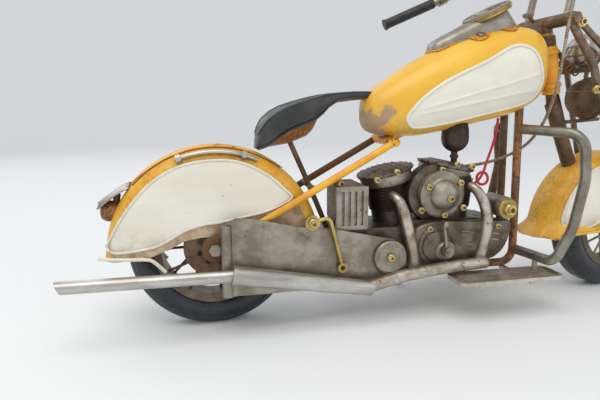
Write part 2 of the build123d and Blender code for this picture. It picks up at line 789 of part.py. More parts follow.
with BuildPart() as plate:
    with BuildSketch(side_plane(GUARD_PLATE_FACE + GUARD_PLATE_THICKNESS)):
        with BuildLine():
            Line((7, 24.4), (7, 72.8))
            Polyline((7, 72.8), (13, 76), (29, 73.9), (54, 67.9), (82, 64.3), (114, 57))
            ThreePointArc((114, 57), (128.8, 44.5), (118, 24.4))
            Line((118, 24.4), (7, 24.4))
        make_face()
    extrude(amount=GUARD_PLATE_THICKNESS)
    with BuildSketch(Plane.XY.offset(24.4)):
        with Locations((7, GUARD_PLATE_FACE + GUARD_PLATE_THICKNESS)):
            Circle(3.7)
            Rectangle(20, 10, align=(Align.CENTER, Align.MIN), mode=Mode.SUBTRACT)
    extrude(amount=47)
    lateral(CAP_X, CAP_Z, GUARD_PLATE_FACE - 2.2, GUARD_PLATE_FACE, 11.2)
    fillet(plate.faces().sort_by(Axis.Y)[0].edges(), 1.2)
    lateral(KICK_X, KICK_Z, GUARD_PLATE_FACE, GUARD_PLATE_FACE + GUARD_PLATE_THICKNESS, 4.2)
    with Locations((62, GUARD_PLATE_FACE + GUARD_PLATE_THICKNESS / 2, 67.5)):
        Box(8.4, GUARD_PLATE_THICKNESS, 7.4)
    lateral(98, 45, GUARD_PLATE_FACE + 1, CASE_RIGHT, 3)
    lateral(20, 65, GUARD_PLATE_FACE + 1, -STAY_Y, 2.2)
finish(plate.part, "chain_guard")

with BuildPart() as pipe:
    rod((-96, SILENCER_Y, 41.6), (12, SILENCER_Y, 41.0), 4.0)
    rod((-100, SILENCER_Y, 41.6), (-82, SILENCER_Y, 41.5), 3.1, mode=Mode.SUBTRACT)
    with BuildSketch(side_plane()):
        with BuildLine():
            Polyline((-99, 50), (-96, 50), (-89, 34), (-99, 34), close=True)
        make_face()
    extrude(amount=60, both=True, mode=Mode.SUBTRACT)
finish(pipe.part, "tail_pipe")

with BuildPart() as silencer:
    axis_start = Vector(9.5, SILENCER_Y, 41.6)
    axis_end = Vector(101.4, SILENCER_Y, 25.6)
    with BuildSketch(Plane(origin=axis_start, z_dir=axis_end - axis_start)):
        Circle(6.3)
    with BuildSketch(Plane(origin=axis_end, z_dir=axis_end - axis_start)):
        Circle(4.9)
    loft()
finish(silencer.part, "exhaust_sleeve")

collector = tube(
    [
        (97, SILENCER_Y, 26.2), (122.7, COLLECTOR_Y, 31.2), (152, COLLECTOR_Y, 34.7),
        (186, COLLECTOR_Y, 36.8),
    ],
    4.2,
    [60, 120],
)
finish(collector, "exhaust_collector")

with BuildPart() as headers:
    add(
        tube(
            [(123, -8, 83), (125, -28.4, 80), (128, -28.4, 62), (134.6, -28.6, 50), (136, COLLECTOR_Y, 33)],
            2.7,
            [7, 14, 14],
        )
    )
    add(
        tube(
            [
                (163, -5, 92), (178, -22, 90), (184.5, -29, 76), (188.6, COLLECTOR_Y, 60),
                (184.2, COLLECTOR_Y, 37),
            ],
            3.0,
            [10, 14, 14],
        )
    )
finish(headers.part, "downpipes")

with BuildPart() as kick:
    lateral(KICK_X, KICK_Z, -29.0, -25.8, 4.8)
    add(tube([(KICK_X, -27.4, KICK_Z), (74, -27.4, 74), (82.4, -27.4, 41)], 1.35, [4]))
    lateral(82.8, 39.3, -28.6, -26.2, 3.3)
    lateral(82.8, 39.3, -29, -26, 1.6, mode=Mode.SUBTRACT)
    lateral(KICK_X, KICK_Z, -30, -25, 1.66, mode=Mode.SUBTRACT)
finish(kick.part, "kick_lever")

with BuildPart() as shift:
    lateral(SHIFT_X, SHIFT_Z, COVER_FACE - 6.5, COVER_FACE - 4.0, 4.2)
    rod((157, COVER_FACE - 5.2, 48), (154, COVER_FACE - 5.2, 66), 1.2)
    lateral(154, 66, COVER_FACE - 8.5, COVER_FACE - 4.2, 1.7)
    lateral(SHIFT_X, SHIFT_Z, COVER_FACE - 8, COVER_FACE - 3, 2.06, mode=Mode.SUBTRACT)
finish(shift.part, "gear_lever")

with BuildPart() as brass:
    lateral(KICK_X, KICK_Z, -30.9, GUARD_PLATE_FACE - 0.02, 1.6)
    lateral(KICK_X, KICK_Z, -30.9, -29.4, 3.0)
    add(fastener(CAP_X, CAP_Z, GUARD_PLATE_FACE - 2.22, 3.0, 5.6))
    add(fastener(158.4, 83.5, -24.62, 3.0, 5.0))
    for x, z in ((144, 91), (166.8, 92), (167.6, 77), (155.8, 72.2), (142.4, 76.6)):
        add(fastener(x, z, -21.52, 2.4, 4.4))
    for x, z in ((146, 61.4), (198, 60.5)):
        add(fastener(x, z, COVER_FACE - 0.02, 2.4, 4.4))
finish(brass.part, "brass_fasteners")


# ---------------------------------------------------------------- fork and controls

with BuildPart() as stem:
    rod(head_point(-22), head_point(38), STEM_RADIUS)
    lower = head_point(-20)
    rod(lower, (262, 0, 124), STEM_RADIUS + 1.2)
    rod((262, 0, 124), (273, 0, 100), STEM_RADIUS + 1.2)
    with Locations((262, 0, 124)):
        Sphere(STEM_RADIUS + 1.2)
    rod(head_point(22), head_point(29), 5.6)
finish(stem.part, "steering_stem", steered=True)

YOKE_X, YOKE_Z = 243.0, 202.5
with BuildPart() as yoke:
    lateral(YOKE_X, YOKE_Z, -24, 24, 4.4)
    for side in (1, -1):
        add(hexagon_nut(YOKE_X, YOKE_Z, side * 24, 3.2, 8.0, outward=side))
    rod((YOKE_X - 3, 10, YOKE_Z + 2), (YOKE_X - 8, 10, YOKE_Z + 7), 1.5)
    rod((YOKE_X - 8, 6, YOKE_Z + 7), (YOKE_X - 8, 14, YOKE_Z + 7), 1.7)
finish(yoke.part, "top_yoke", steered=True)

with BuildPart() as girders:
    for side in (1, -1):
        y = side * GIRDER_Y
        add(tube([(243, y, 203), (268, y, 172), (313.6, y, 57.5)], 2.9, [24]))
        add(tube([(247, y, 205), (284, y, 179), (316.4, y, 58.5)], 2.3, [18]))
        low, high = sorted((side * LUG_INNER, side * LUG_OUTER))
        lateral(FRONT_AXLE_X, FRONT_AXLE_Z, low, high, 7.5)
        rod((313, side * 18.6, 60), (316.5, side * 19.5, 56), 3)
    bore = FRONT_AXLE_RADIUS + 0.05
    lateral(FRONT_AXLE_X, FRONT_AXLE_Z, -LUG_OUTER - 4, LUG_OUTER + 4, bore, mode=Mode.SUBTRACT)
finish(girders.part, "girders", steered=True)

with BuildPart() as spring:
    rod((259.5, 0, 176.5), (271.5, 0, 169.5), 3.0)
    lateral(271.5, 169.5, -GIRDER_Y, GIRDER_Y, 1.8)
finish(spring.part, "fork_spring", steered=True)

with BuildPart() as headlight:
    with Locations((284, 0, 186)):
        Sphere(13)
    with Locations(Plane.YZ.offset(289)):
        with Locations((0, 186)):
            Cylinder(20, 20, align=(Align.CENTER, Align.CENTER, Align.MIN), mode=Mode.SUBTRACT)
    with Locations(Plane.YZ.offset(286)):
        with Locations((0, 186)):
            Cylinder(13.6, 3.6, align=(Align.CENTER, Align.CENTER, Align.MIN))
    rod((246, 0, 203), (274, 0, 192), 1.7)
finish(headlight.part, "headlight", steered=True)

with BuildPart() as horn:
    with Locations((286, 0, 149)):
        Sphere(14.8)
    with Locations(Plane.YZ.offset(289)):
        with Locations((0, 149)):
            Cylinder(20, 20, align=(Align.CENTER, Align.CENTER, Align.MIN), mode=Mode.SUBTRACT)
    with Locations(Plane.YZ.offset(286.5)):
        with Locations((0, 149)):
            Cylinder(15.3, 3.5, align=(Align.CENTER, Align.CENTER, Align.MIN))
    rod((255, 0, 131), (300, 0, 133.6), 1.4)
    rod((284, 0, 133), (284, 0, 138), 2.2)
finish(horn.part, "horn", steered=True)

BAR_ROUTE = [
    (164, -92, 213), (225, -74, 240), (250, -40, 242), (252, 0, 238), (250, 40, 242),
    (225, 74, 240), (164, 92, 213),
]


def grip_frame(side):
    """Grip end, unit vector inwards along the grip, unit vector towards the lever, hinge axis."""
    end = Vector(164, side * 92, 213)
    inward = (Vector(225, side * 74, 240) - end).normalized()
    outboard = Vector(18, side * 61, 0).normalized()
    hinge = inward.cross(outboard).normalized() * side
    return end, inward, outboard, hinge


with BuildPart() as bars:
    add(tube(BAR_ROUTE, BAR_RADIUS, [18, 22, 60, 22, 18]))
    for side in (1, -1):
        rod((242, side * 18, 203), (250.8, side * 18, 240), 2.6)
        end, inward, outboard, hinge = grip_frame(side)
        perch = end + inward * PERCH_DISTANCE
        pivot = perch + outboard * LEVER_OFFSET
        rod(tuple(perch - hinge * 2.9), tuple(pivot - hinge * 2.9), 1.5)
        rod(tuple(perch - inward * 3), tuple(perch + inward * 3), 4.4)
        rod(tuple(pivot - hinge * 4.2), tuple(pivot + hinge * 2.9), LEVER_PIN_RADIUS)
        rod(tuple(pivot + hinge * 1.6), tuple(pivot + hinge * 2.9), 1.9)
finish(bars.part, "handlebar", steered=True)

with BuildPart() as grips:
    for side in (1, -1):
        end, inward, outboard, hinge = grip_frame(side)
        rod(tuple(end - inward * 1.5), tuple(end + inward * GRIP_LENGTH), GRIP_RADIUS)
        rod(tuple(end - inward * 2.5), tuple(end - inward * 1), GRIP_RADIUS + 0.6)
        bore_end = end + inward * (GRIP_LENGTH + 2)
        rod(tuple(end), tuple(bore_end), BAR_RADIUS, mode=Mode.SUBTRACT)
finish(grips.part, "grips", steered=True)

for side, label in ((1, "clutch_lever"), (-1, "brake_lever")):
    end, inward, outboard, hinge = grip_frame(side)
    pivot = end + inward * PERCH_DISTANCE + outboard * LEVER_OFFSET
    tip = end + inward * 4 + outboard * (LEVER_OFFSET + 2.5)
    with BuildPart() as lever:
        rod(tuple(pivot - hinge * 1.2), tuple(pivot + hinge * 1.2), 2.9)
        rod(tuple(pivot), tuple(tip), 1.15)
        rod(tuple(tip - inward * 2), tuple(tip + inward * 1.5), 1.9)
        bore = LEVER_PIN_RADIUS + 0.05
        rod(tuple(pivot - hinge * 3), tuple(pivot + hinge * 3), bore, mode=Mode.SUBTRACT)
    finish(lever.part, label, steered=True)

with BuildPart() as stand:
    lateral(STAND_X, STAND_Z, 12.3, STAND_PIN_END - 1.5, 4.5)
    rod((STAND_X, 15, STAND_Z - 3.6), (STAND_FOOT_X + 1, STAND_FOOT_Y - 2, 2.6), 2.2)
    with Locations((STAND_FOOT_X, STAND_FOOT_Y, 1.0)):
        Box(14, 10, 2)
    bore = STAND_PIN_RADIUS + RUNNING_CLEARANCE
    lateral(STAND_X, STAND_Z, 5, STAND_PIN_END + 2, bore, mode=Mode.SUBTRACT)
finish(stand.part, "side_stand")


# ---------------------------------------------------------------- cords


def cord(route, radius):
    """A cord along runs whose arcs are as large as the runs on each side allow."""
    points = [Vector(*point) for point in route]
    bends = []
    for before, corner, after in zip(points, points[1:], points[2:]):
        turn = (corner - before).get_angle(after - corner)
        shorter = min((corner - before).length, (after - corner).length)
        bends.append(0.45 * shorter / math.tan(math.radians(turn / 2)))
    print("cord arc radii", [round(bend, 1) for bend in bends])
    swept = tube(route, radius, bends)
    with BuildLine() as line:
        FilletPolyline(*route, radius=bends)
    length = line.wires()[0].length
    section = math.pi * radius**2
    print("cord length", round(length, 1), "volume ratio", round(swept.volume / section / length, 4))
    return swept


LEAD_ROUTE = [
    (199.6, -14.0, 136.0), (199.2, -14.0, 127.0), (196.0, -14.6, 116.0), (192.0, -15.4, 106.0),
    (189.6, -15.6, 97.5), (185.5, -14.8, 90.5), (177.0, -12.6, 86.0),
]
finish(cord(LEAD_ROUTE, LEAD_RADIUS), "ignition_lead")

CABLE_ROUTE = [
    (249.0, -21.0, 235.0), (242.0, -27.5, 216.0), (237.0, -30.0, 198.0), (235.0, -30.2, 178.0),
    (233.5, -29.0, 158.0), (231.5, -25.0, 140.0), (230.5, -16.0, 125.0), (226.5, -5.5, 113.0),
    (211.0, -2.0, 105.5), (194.0, -3.0, 102.0), (178.0, -3.6, 101.0),
]
finish(cord(CABLE_ROUTE, CABLE_RADIUS), "throttle_cable")
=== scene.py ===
import json
import math

import bmesh
import bpy
import numpy as np
from mathutils import Matrix, Vector


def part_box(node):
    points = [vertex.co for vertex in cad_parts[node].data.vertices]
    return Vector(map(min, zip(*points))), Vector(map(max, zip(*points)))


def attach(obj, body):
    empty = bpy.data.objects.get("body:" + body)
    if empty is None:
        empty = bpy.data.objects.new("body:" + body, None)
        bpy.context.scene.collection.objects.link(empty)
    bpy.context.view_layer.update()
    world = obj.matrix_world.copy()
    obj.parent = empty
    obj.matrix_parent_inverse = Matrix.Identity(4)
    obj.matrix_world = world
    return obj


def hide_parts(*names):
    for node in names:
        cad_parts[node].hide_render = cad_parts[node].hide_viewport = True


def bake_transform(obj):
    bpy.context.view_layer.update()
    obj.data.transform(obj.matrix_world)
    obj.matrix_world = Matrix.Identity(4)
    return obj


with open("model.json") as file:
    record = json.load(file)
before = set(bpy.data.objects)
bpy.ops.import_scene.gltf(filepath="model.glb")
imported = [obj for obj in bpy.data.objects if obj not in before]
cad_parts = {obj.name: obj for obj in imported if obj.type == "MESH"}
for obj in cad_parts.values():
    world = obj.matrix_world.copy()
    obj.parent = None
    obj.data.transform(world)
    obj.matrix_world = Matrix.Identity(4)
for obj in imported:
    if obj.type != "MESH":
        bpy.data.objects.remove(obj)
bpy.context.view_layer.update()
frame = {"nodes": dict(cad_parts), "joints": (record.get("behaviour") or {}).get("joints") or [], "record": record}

MM = 0.001
REST_STEER = math.radians(8.0)

# ---------------------------------------------------------------- places, all taken from the frame


def centre(node):
    low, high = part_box(node)
    return (low + high) / 2


REAR_AXLE = centre("rear_tyre")
STEERING = next(joint for joint in frame["joints"] if joint["name"] == "steering")
STEER_POINT = Vector(STEERING["pos_m"])
STEER_AXIS = Vector(STEERING["axis"]).normalized()


def place(x, y, z):
    """Millimetres forward and left of the rear axle and above the floor, as a row point."""
    return Vector((REAR_AXLE.x + x * MM, REAR_AXLE.y + y * MM, z * MM))


def steer_matrix():
    turn = Matrix.Rotation(REST_STEER, 4, STEER_AXIS)
    return Matrix.Translation(STEER_POINT) @ turn @ Matrix.Translation(-STEER_POINT)


# ---------------------------------------------------------------- camera, light and floor


CAMERA_SPOT = (-14.73, -345.56, 147.88)
CAMERA_TURNS = (12.2, 10.7, -0.3)
FOCAL_SHARE = 13 / 15


def add_camera():
    """A camera turned by yaw, pitch and roll, at a place measured from the rear axle."""
    yaw, pitch, roll = (math.radians(angle) for angle in CAMERA_TURNS)
    look = Vector((math.sin(yaw) * math.cos(pitch), math.cos(yaw) * math.cos(pitch), -math.sin(pitch)))
    level = Vector((math.cos(yaw), -math.sin(yaw), 0))
    raised = level.cross(look)
    right = level * math.cos(roll) + raised * math.sin(roll)
    up = right.cross(look)
    data = bpy.data.cameras.new("camera")
    data.sensor_width = 36
    data.lens = data.sensor_width * FOCAL_SHARE
    data.clip_start = 0.01
    camera = bpy.data.objects.new("camera", data)
    turn = Matrix((right, up, -look)).transposed().to_4x4()
    camera.matrix_world = Matrix.Translation(place(*CAMERA_SPOT)) @ turn
    bpy.context.scene.collection.objects.link(camera)
    bpy.context.scene.camera = camera


def add_area_light(name, spot, target, size, power, colour=(1, 1, 1)):
    data = bpy.data.lights.new(name, "AREA")
    data.shape = "DISK"
    data.size = size
    data.energy = power
    data.color = colour
    light = bpy.data.objects.new(name, data)
    light.location = spot
    light.rotation_euler = (Vector(target) - Vector(spot)).to_track_quat("-Z", "Y").to_euler()
    bpy.context.scene.collection.objects.link(light)


def add_studio():
    """A pale room: soft surrounding light, three lamps and a floor that curves up behind."""
    world = bpy.data.worlds.new("studio")
    world.use_nodes = True
    world.node_tree.nodes["Background"].inputs["Color"].default_value = (0.93, 0.95, 0.97, 1)
    world.node_tree.nodes["Background"].inputs["Strength"].default_value = 0.80
    bpy.context.scene.world = world
    bpy.context.scene.view_settings.view_transform = "Standard"
    bpy.context.scene.view_settings.look = "None"
    add_area_light("key", (-0.25, -0.35, 0.95), (0, 0, 0.08), 0.8, 3.6, (1, 0.985, 0.96))
    add_area_light("fill", (0.9, -0.7, 0.55), (0, 0, 0.08), 0.9, 1.2, (0.94, 0.97, 1))
    add_area_light("back", (-0.5, 0.9, 0.8), (0, 0, 0.1), 0.9, 1.6)
    bm = bmesh.new()
    reach, depth, rise, steps = 2.4, 1.5, 0.9, 14
    rows = [(-reach, 0.0)] + [
        (depth + rise * math.sin(k / steps * math.pi / 2), rise * (1 - math.cos(k / steps * math.pi / 2)))
        for k in range(steps + 1)
    ] + [(depth + rise, 3.0)]
    for y, z in rows:
        bm.verts.new((-reach * 1.6, y, z))
        bm.verts.new((reach * 1.6, y, z))
    bm.verts.ensure_lookup_table()
    for k in range(len(rows) - 1):
        bm.faces.new([bm.verts[2 * k + i] for i in (0, 1, 3, 2)])
    mesh = bpy.data.meshes.new("floor")
    bm.to_mesh(mesh)
    bm.free()
    mesh.shade_smooth()
    floor = bpy.data.objects.new("floor", mesh)
    bpy.context.scene.collection.objects.link(floor)
    material = bpy.data.materials.new("floor_paper")
    material.use_nodes = True
    sockets = material.node_tree.nodes["Principled BSDF"].inputs
    sockets["Base Color"].default_value = (0.86, 0.87, 0.87, 1)
    sockets["Roughness"].default_value = 0.75
    mesh.materials.append(material)


add_camera()
add_studio()


# ---------------------------------------------------------------- material kit


class Finish:
    """A node material in the making: a Principled shader and helpers that feed it."""

    def __init__(self, name, metallic=0.0, roughness=0.5):
        self.material = bpy.data.materials.new(name)
        self.material.use_nodes = True
        self.tree = self.material.node_tree
        self.shader = self.tree.nodes["Principled BSDF"]
        self.shader.inputs["Metallic"].default_value = metallic
        self.shader.inputs["Roughness"].default_value = roughness
        self.coords = self.tree.nodes.new("ShaderNodeTexCoord").outputs["Object"]

    def link(self, source, target):
        self.tree.links.new(source, target)

    def noise(self, scale, detail=4.0, roughness=0.55, stretch=(1, 1, 1), seed=0.0):
        mapping = self.tree.nodes.new("ShaderNodeMapping")
        mapping.inputs["Scale"].default_value = stretch
        mapping.inputs["Location"].default_value = (seed, seed * 0.7, -seed)
        self.link(self.coords, mapping.inputs["Vector"])
        node = self.tree.nodes.new("ShaderNodeTexNoise")
        node.inputs["Scale"].default_value = scale
        node.inputs["Detail"].default_value = detail
        node.inputs["Roughness"].default_value = roughness
        self.link(mapping.outputs["Vector"], node.inputs["Vector"])
        return node.outputs["Fac"]

    def voronoi(self, scale):
        node = self.tree.nodes.new("ShaderNodeTexVoronoi")
        node.inputs["Scale"].default_value = scale
        self.link(self.coords, node.inputs["Vector"])
        return node.outputs["Distance"]

    def crevice(self, distance, samples=4, inside=False):
        node = self.tree.nodes.new("ShaderNodeAmbientOcclusion")
        node.samples = samples
        node.inside = inside
        node.only_local = inside
        node.inputs["Distance"].default_value = distance
        return node.outputs["AO"]

    def span(self, value, low, high, to_low=0.0, to_high=1.0):
        node = self.tree.nodes.new("ShaderNodeMapRange")
        node.interpolation_type = "SMOOTHSTEP"
        for key, number in (("From Min", low), ("From Max", high), ("To Min", to_low), ("To Max", to_high)):
            node.inputs[key].default_value = number
        self.link(value, node.inputs["Value"])
        return node.outputs["Result"]

    def maths(self, operation, first, second):
        node = self.tree.nodes.new("ShaderNodeMath")
        node.operation = operation
        node.use_clamp = True
        for socket, value in zip(node.inputs, (first, second)):
            if isinstance(value, (int, float)):
                socket.default_value = value
            else:
                self.link(value, socket)
        return node.outputs["Value"]

    def blend(self, amount, first, second):
        node = self.tree.nodes.new("ShaderNodeMix")
        node.data_type = "RGBA"
        self.link(amount, node.inputs["Factor"])
        for key, value in ((6, first), (7, second)):
            if isinstance(value, tuple):
                node.inputs[key].default_value = (*value, 1)
            else:
                self.link(value, node.inputs[key])
        return node.outputs[2]

    def along_axis(self, axis, ragged=None):
        """The place along a row axis in metres, shifted by a ragged amount if one is given."""
        split = self.tree.nodes.new("ShaderNodeSeparateXYZ")
        self.link(self.coords, split.inputs["Vector"])
        if ragged is None:
            return split.outputs[axis]
        shifted = self.tree.nodes.new("ShaderNodeMath")
        self.link(split.outputs[axis], shifted.inputs[0])
        self.link(ragged, shifted.inputs[1])
        return shifted.outputs[0]

    def height_ramp(self, axis, low, high):
        """0 below low, 1 above high, along a row axis, in metres."""
        return self.span(self.along_axis(axis), low, high)

    def bump(self, height, strength, distance):
        node = self.tree.nodes.new("ShaderNodeBump")
        node.inputs["Strength"].default_value = strength
        node.inputs["Distance"].default_value = distance
        self.link(height, node.inputs["Height"])
        self.link(node.outputs["Normal"], self.shader.inputs["Normal"])

    def set(self, key, value):
        if isinstance(value, (int, float)):
            self.shader.inputs[key].default_value = value
        else:
            self.link(value, self.shader.inputs[key])


def paint(name, colour, shade, rust_and_shade, wear, seed, rough=0.36, old=0.0, zones=()):
    """Brushed enamel on sheet metal: uneven colour, grimy painted shade in the corners, and rusted where it
    chipped.
    """
    finish = Finish(name)
    tone = finish.span(finish.noise(38, 5, 0.6, seed=seed), 0.35, 0.68)
    body = finish.blend(tone, colour, shade)
    strokes = finish.noise(160, 3, 0.6, stretch=(0.25, 1, 1), seed=seed + 2)
    # Painted shade: the AO node darkens corners and creases, mottled by noise, towards the rusted colour.
    shade_and_grime = finish.span(finish.crevice(7 * MM), 0.35, 0.92, 0.75, 0.0)
    shade_and_grime = finish.maths(
        "MULTIPLY", shade_and_grime, finish.span(finish.noise(190, 4, 0.65, seed=seed + 4), 0.3, 0.62),
    )
    chips = finish.span(finish.noise(270, 6, 0.72, seed=seed + 1), wear, wear + 0.05)
    spread = finish.span(finish.noise(30, 3, 0.5, seed=seed + 3), 0.62 - old, 0.78 - old)
    edges = finish.span(finish.crevice(1.6 * MM, inside=True), 0.25, 0.72, 0.85, 0.0)
    flecks = finish.span(finish.noise(420, 4, 0.7, seed=seed + 5), 0.42, 0.6)
    edge_wear = finish.maths("MULTIPLY", edges, flecks)
    # Chips and worn edges, then the painted corner shade and any zones, all blended to the rusted colour.
    damage_and_shade = finish.maths("MAXIMUM", finish.maths("MULTIPLY", chips, spread), edge_wear)
    damage_and_shade = finish.maths("MAXIMUM", damage_and_shade, shade_and_grime)
    for zone in zones:
        damage_and_shade = finish.maths("MAXIMUM", damage_and_shade, finish.height_ramp(*zone))
    finish.link(finish.blend(damage_and_shade, body, rust_and_shade), finish.shader.inputs["Base Color"])
    finish.set("Roughness", finish.span(damage_and_shade, 0, 1, rough, 0.75))
    finish.shader.inputs["Coat Weight"].default_value = 0.12
    finish.shader.inputs["Coat Roughness"].default_value = 0.3
    finish.bump(finish.maths("SUBTRACT", strokes, finish.maths("MULTIPLY", damage_and_shade, 0.5)), 0.16, 0.25 * MM)
    return finish.material


def metal(
    name, light, dark, rust_and_shade, rust_amount, seed, rough=(0.3, 0.55), stretch=(1, 1, 1), metallic=0.92,
    zones=(),
):
    """Bare worked metal: bright where it is rubbed, stained and rusted where it is not, with painted shade in its
    corners.
    """
    finish = Finish(name, metallic=metallic)
    stain = finish.span(finish.noise(75, 6, 0.62, stretch=stretch, seed=seed), 0.34, 0.66)
    body = finish.blend(stain, light, dark)
    # Painted shade: the AO node darkens the corners, which are mixed in with the rusted patches.
    corner = finish.span(finish.crevice(5 * MM), 0.3, 0.9, 0.9, 0.0)
    patches = finish.span(finish.noise(120, 7, 0.7, seed=seed + 3), 0.66 - rust_amount, 0.76 - rust_amount)
    # Rusted patches together with the painted corner shade.
    spread = finish.maths("MAXIMUM", patches, finish.maths("MULTIPLY", corner, 0.85))
    fine = finish.span(finish.noise(650, 4, 0.7, seed=seed + 6), 0.34, 0.58)
    spread = finish.maths("MULTIPLY", spread, fine)
    for zone in zones:
        patch = finish.maths("MULTIPLY", finish.height_ramp(*zone), 0.85)
        spread = finish.maths("MAXIMUM", spread, patch)
    finish.link(finish.blend(spread, body, rust_and_shade), finish.shader.inputs["Base Color"])
    finish.set("Metallic", finish.span(spread, 0, 1, metallic, 0.25))
    scratches = finish.noise(420, 5, 0.7, stretch=(0.12 * stretch[0], 1, 1), seed=seed + 9)
    finish.set(
        "Roughness",
        finish.maths(
            "ADD", finish.span(scratches, 0.3, 0.7, *rough), finish.maths("MULTIPLY", spread, 0.25),
        ),
    )
    relief = finish.maths(
        "ADD", finish.maths("MULTIPLY", scratches, 0.35), finish.maths("MULTIPLY", spread, 0.6),
    )
    finish.bump(relief, 0.25, 0.3 * MM)
    return finish.material


def plain(name, colour, other, scale, rough, bump, metallic=0.0, cell=None, seed=0.0):
    """One material mottled between two colours, with a fine grain or a cell pattern as its relief."""
    finish = Finish(name, metallic=metallic, roughness=rough)
    tone = finish.noise(scale, 4, 0.6, seed=seed)
    finish.link(
        finish.blend(finish.span(tone, 0.35, 0.65), colour, other), finish.shader.inputs["Base Color"],
    )
    finish.set(
        "Roughness",
        finish.span(finish.noise(scale * 2.4, 3, 0.6, seed=seed + 1), 0.3, 0.7, rough - 0.07, rough + 0.1),
    )
    grain = finish.voronoi(cell) if cell else finish.noise(scale * 8, 5, 0.7, seed=seed + 2)
    finish.bump(grain, bump, 0.25 * MM)
    return finish.material


def wound_wire():
    """Round wire wound close: its own colour on each turn and painted shade, near black, between them."""
    finish = Finish("wound_cable", metallic=0.75, roughness=0.42)
    stain = finish.span(finish.noise(140, 5, 0.65, seed=9), 0.35, 0.65)
    body = finish.blend(stain, (0.40, 0.34, 0.27), (0.24, 0.17, 0.12))
    # Painted shade: the AO node makes the grooves between the turns near black.
    groove_shade = finish.span(finish.crevice(1.0 * MM, 6), 0.62, 0.93, 1.0, 0.0)
    finish.link(finish.blend(groove_shade, body, (0.035, 0.022, 0.014)), finish.shader.inputs["Base Color"])
    finish.bump(finish.noise(900, 3, 0.6, seed=10), 0.1, 0.1 * MM)
    return finish.material


# Dark rusted brown, also the colour that paint() turns its painted corner shade to.
RUST_AND_SHADE = (0.105, 0.042, 0.016)
YELLOW, YELLOW_SHADE = (0.84, 0.46, 0.035), (0.70, 0.33, 0.018)
MATERIALS = {
    "yellow_paint": paint("yellow_enamel", YELLOW, YELLOW_SHADE, RUST_AND_SHADE, 0.66, 1.0),
    "cream_paint": paint(
        "cream_enamel", (0.83, 0.80, 0.68), (0.76, 0.72, 0.58), (0.22, 0.12, 0.06), 0.66, 2.0,
    ),
    "worn_steel": metal(
        "worn_steel", (0.40, 0.365, 0.31), (0.235, 0.20, 0.155), (0.10, 0.055, 0.03), 0.08, 3.0,
    ),
    "rusty_steel": metal(
        "rusty_steel", (0.19, 0.135, 0.09), (0.10, 0.06, 0.035), (0.24, 0.10, 0.022), 0.15, 4.0,
        (0.42, 0.7), metallic=0.6,
    ),
    "cast_case": metal(
        "cast_metal", (0.23, 0.19, 0.145), (0.105, 0.082, 0.06), (0.05, 0.03, 0.018), 0.12, 5.0,
        (0.36, 0.58),
    ),
    "brass": metal(
        "aged_brass", (0.62, 0.48, 0.18), (0.40, 0.29, 0.09), (0.13, 0.075, 0.03), 0.04, 6.0, (0.28, 0.5),
    ),
    "dark_metal": metal(
        "blackened_metal", (0.045, 0.042, 0.04), (0.018, 0.016, 0.015), (0.09, 0.04, 0.018), 0.08, 7.0,
        (0.32, 0.55), metallic=0.7,
    ),
    "tyre_rubber": plain(
        "tyre_rubber", (0.011, 0.015, 0.018), (0.020, 0.025, 0.029), 60, 0.28, 0.10, seed=1.0,
    ),
    "saddle_leather": plain(
        "saddle_covering", (0.016, 0.019, 0.019), (0.036, 0.040, 0.038), 55, 0.42, 0.35, cell=520, seed=2.0,
    ),
    "saddle_pan": paint(
        "saddle_pan_paint", (0.36, 0.125, 0.014), (0.19, 0.065, 0.012), (0.07, 0.03, 0.014), 0.55, 8.0, 0.5,
        0.12,
    ),
    "grip_rubber": plain(
        "grip_rubber", (0.012, 0.012, 0.012), (0.03, 0.03, 0.03), 220, 0.45, 0.3, seed=3.0,
    ),
    "red_wire": plain("red_wire", (0.52, 0.012, 0.045), (0.40, 0.008, 0.03), 300, 0.34, 0.05, seed=4.0),
    "braided_cable": wound_wire(),
}
OLD_YELLOW = paint(
    "old_yellow_enamel", (0.90, 0.44, 0.022), (0.70, 0.27, 0.012), RUST_AND_SHADE, 0.54, 10.0, 0.45, 0.16,
)
CHIPPED_ORANGE = paint(
    "chipped_orange_enamel", (0.33, 0.135, 0.03), (0.17, 0.075, 0.028), (0.10, 0.05, 0.024), 0.50, 11.0,
    0.5, 0.3,
)
BRIGHT_STEEL = metal(
    "bright_steel", (0.60, 0.585, 0.55), (0.40, 0.375, 0.33), (0.16, 0.10, 0.06), 0.02, 12.0, (0.24, 0.42),
    (0.3, 1, 1),
)
SILVER = metal(
    "silvered_shell", (0.50, 0.47, 0.42), (0.34, 0.30, 0.25), (0.24, 0.18, 0.13), 0.0, 13.0, (0.18, 0.34),
)
STAY_BROWN = (0.15, 0.062, 0.022)
STAY_YELLOW = paint(
    "stay_enamel", (0.90, 0.48, 0.024), (0.74, 0.31, 0.014), STAY_BROWN, 0.6, 10.0, 0.42, 0.1,
    zones=[(1, 0.008, 0.012), (2, 0.073, 0.065)],
)
BAR_STEEL = metal(
    "bar_steel", (0.36, 0.34, 0.285), (0.22, 0.20, 0.155), (0.20, 0.095, 0.035), 0.06, 14.0, (0.3, 0.48),
    zones=[(1, -0.016, -0.002)],
)
STAINED_STEEL = metal(
    "stained_steel", (0.62, 0.58, 0.51), (0.34, 0.27, 0.20), (0.17, 0.08, 0.04), 0.12, 16.0, (0.3, 0.5),
)
FOOT_STEEL = metal(
    "foot_steel", (0.66, 0.62, 0.54), (0.46, 0.42, 0.34), (0.16, 0.09, 0.05), 0.05, 23.0, (0.34, 0.5),
)
BARREL_IRON = metal(
    "barrel_iron", (0.075, 0.055, 0.040), (0.030, 0.022, 0.017), (0.10, 0.05, 0.025), 0.08, 24.0,
    (0.34, 0.55), metallic=0.7,
)
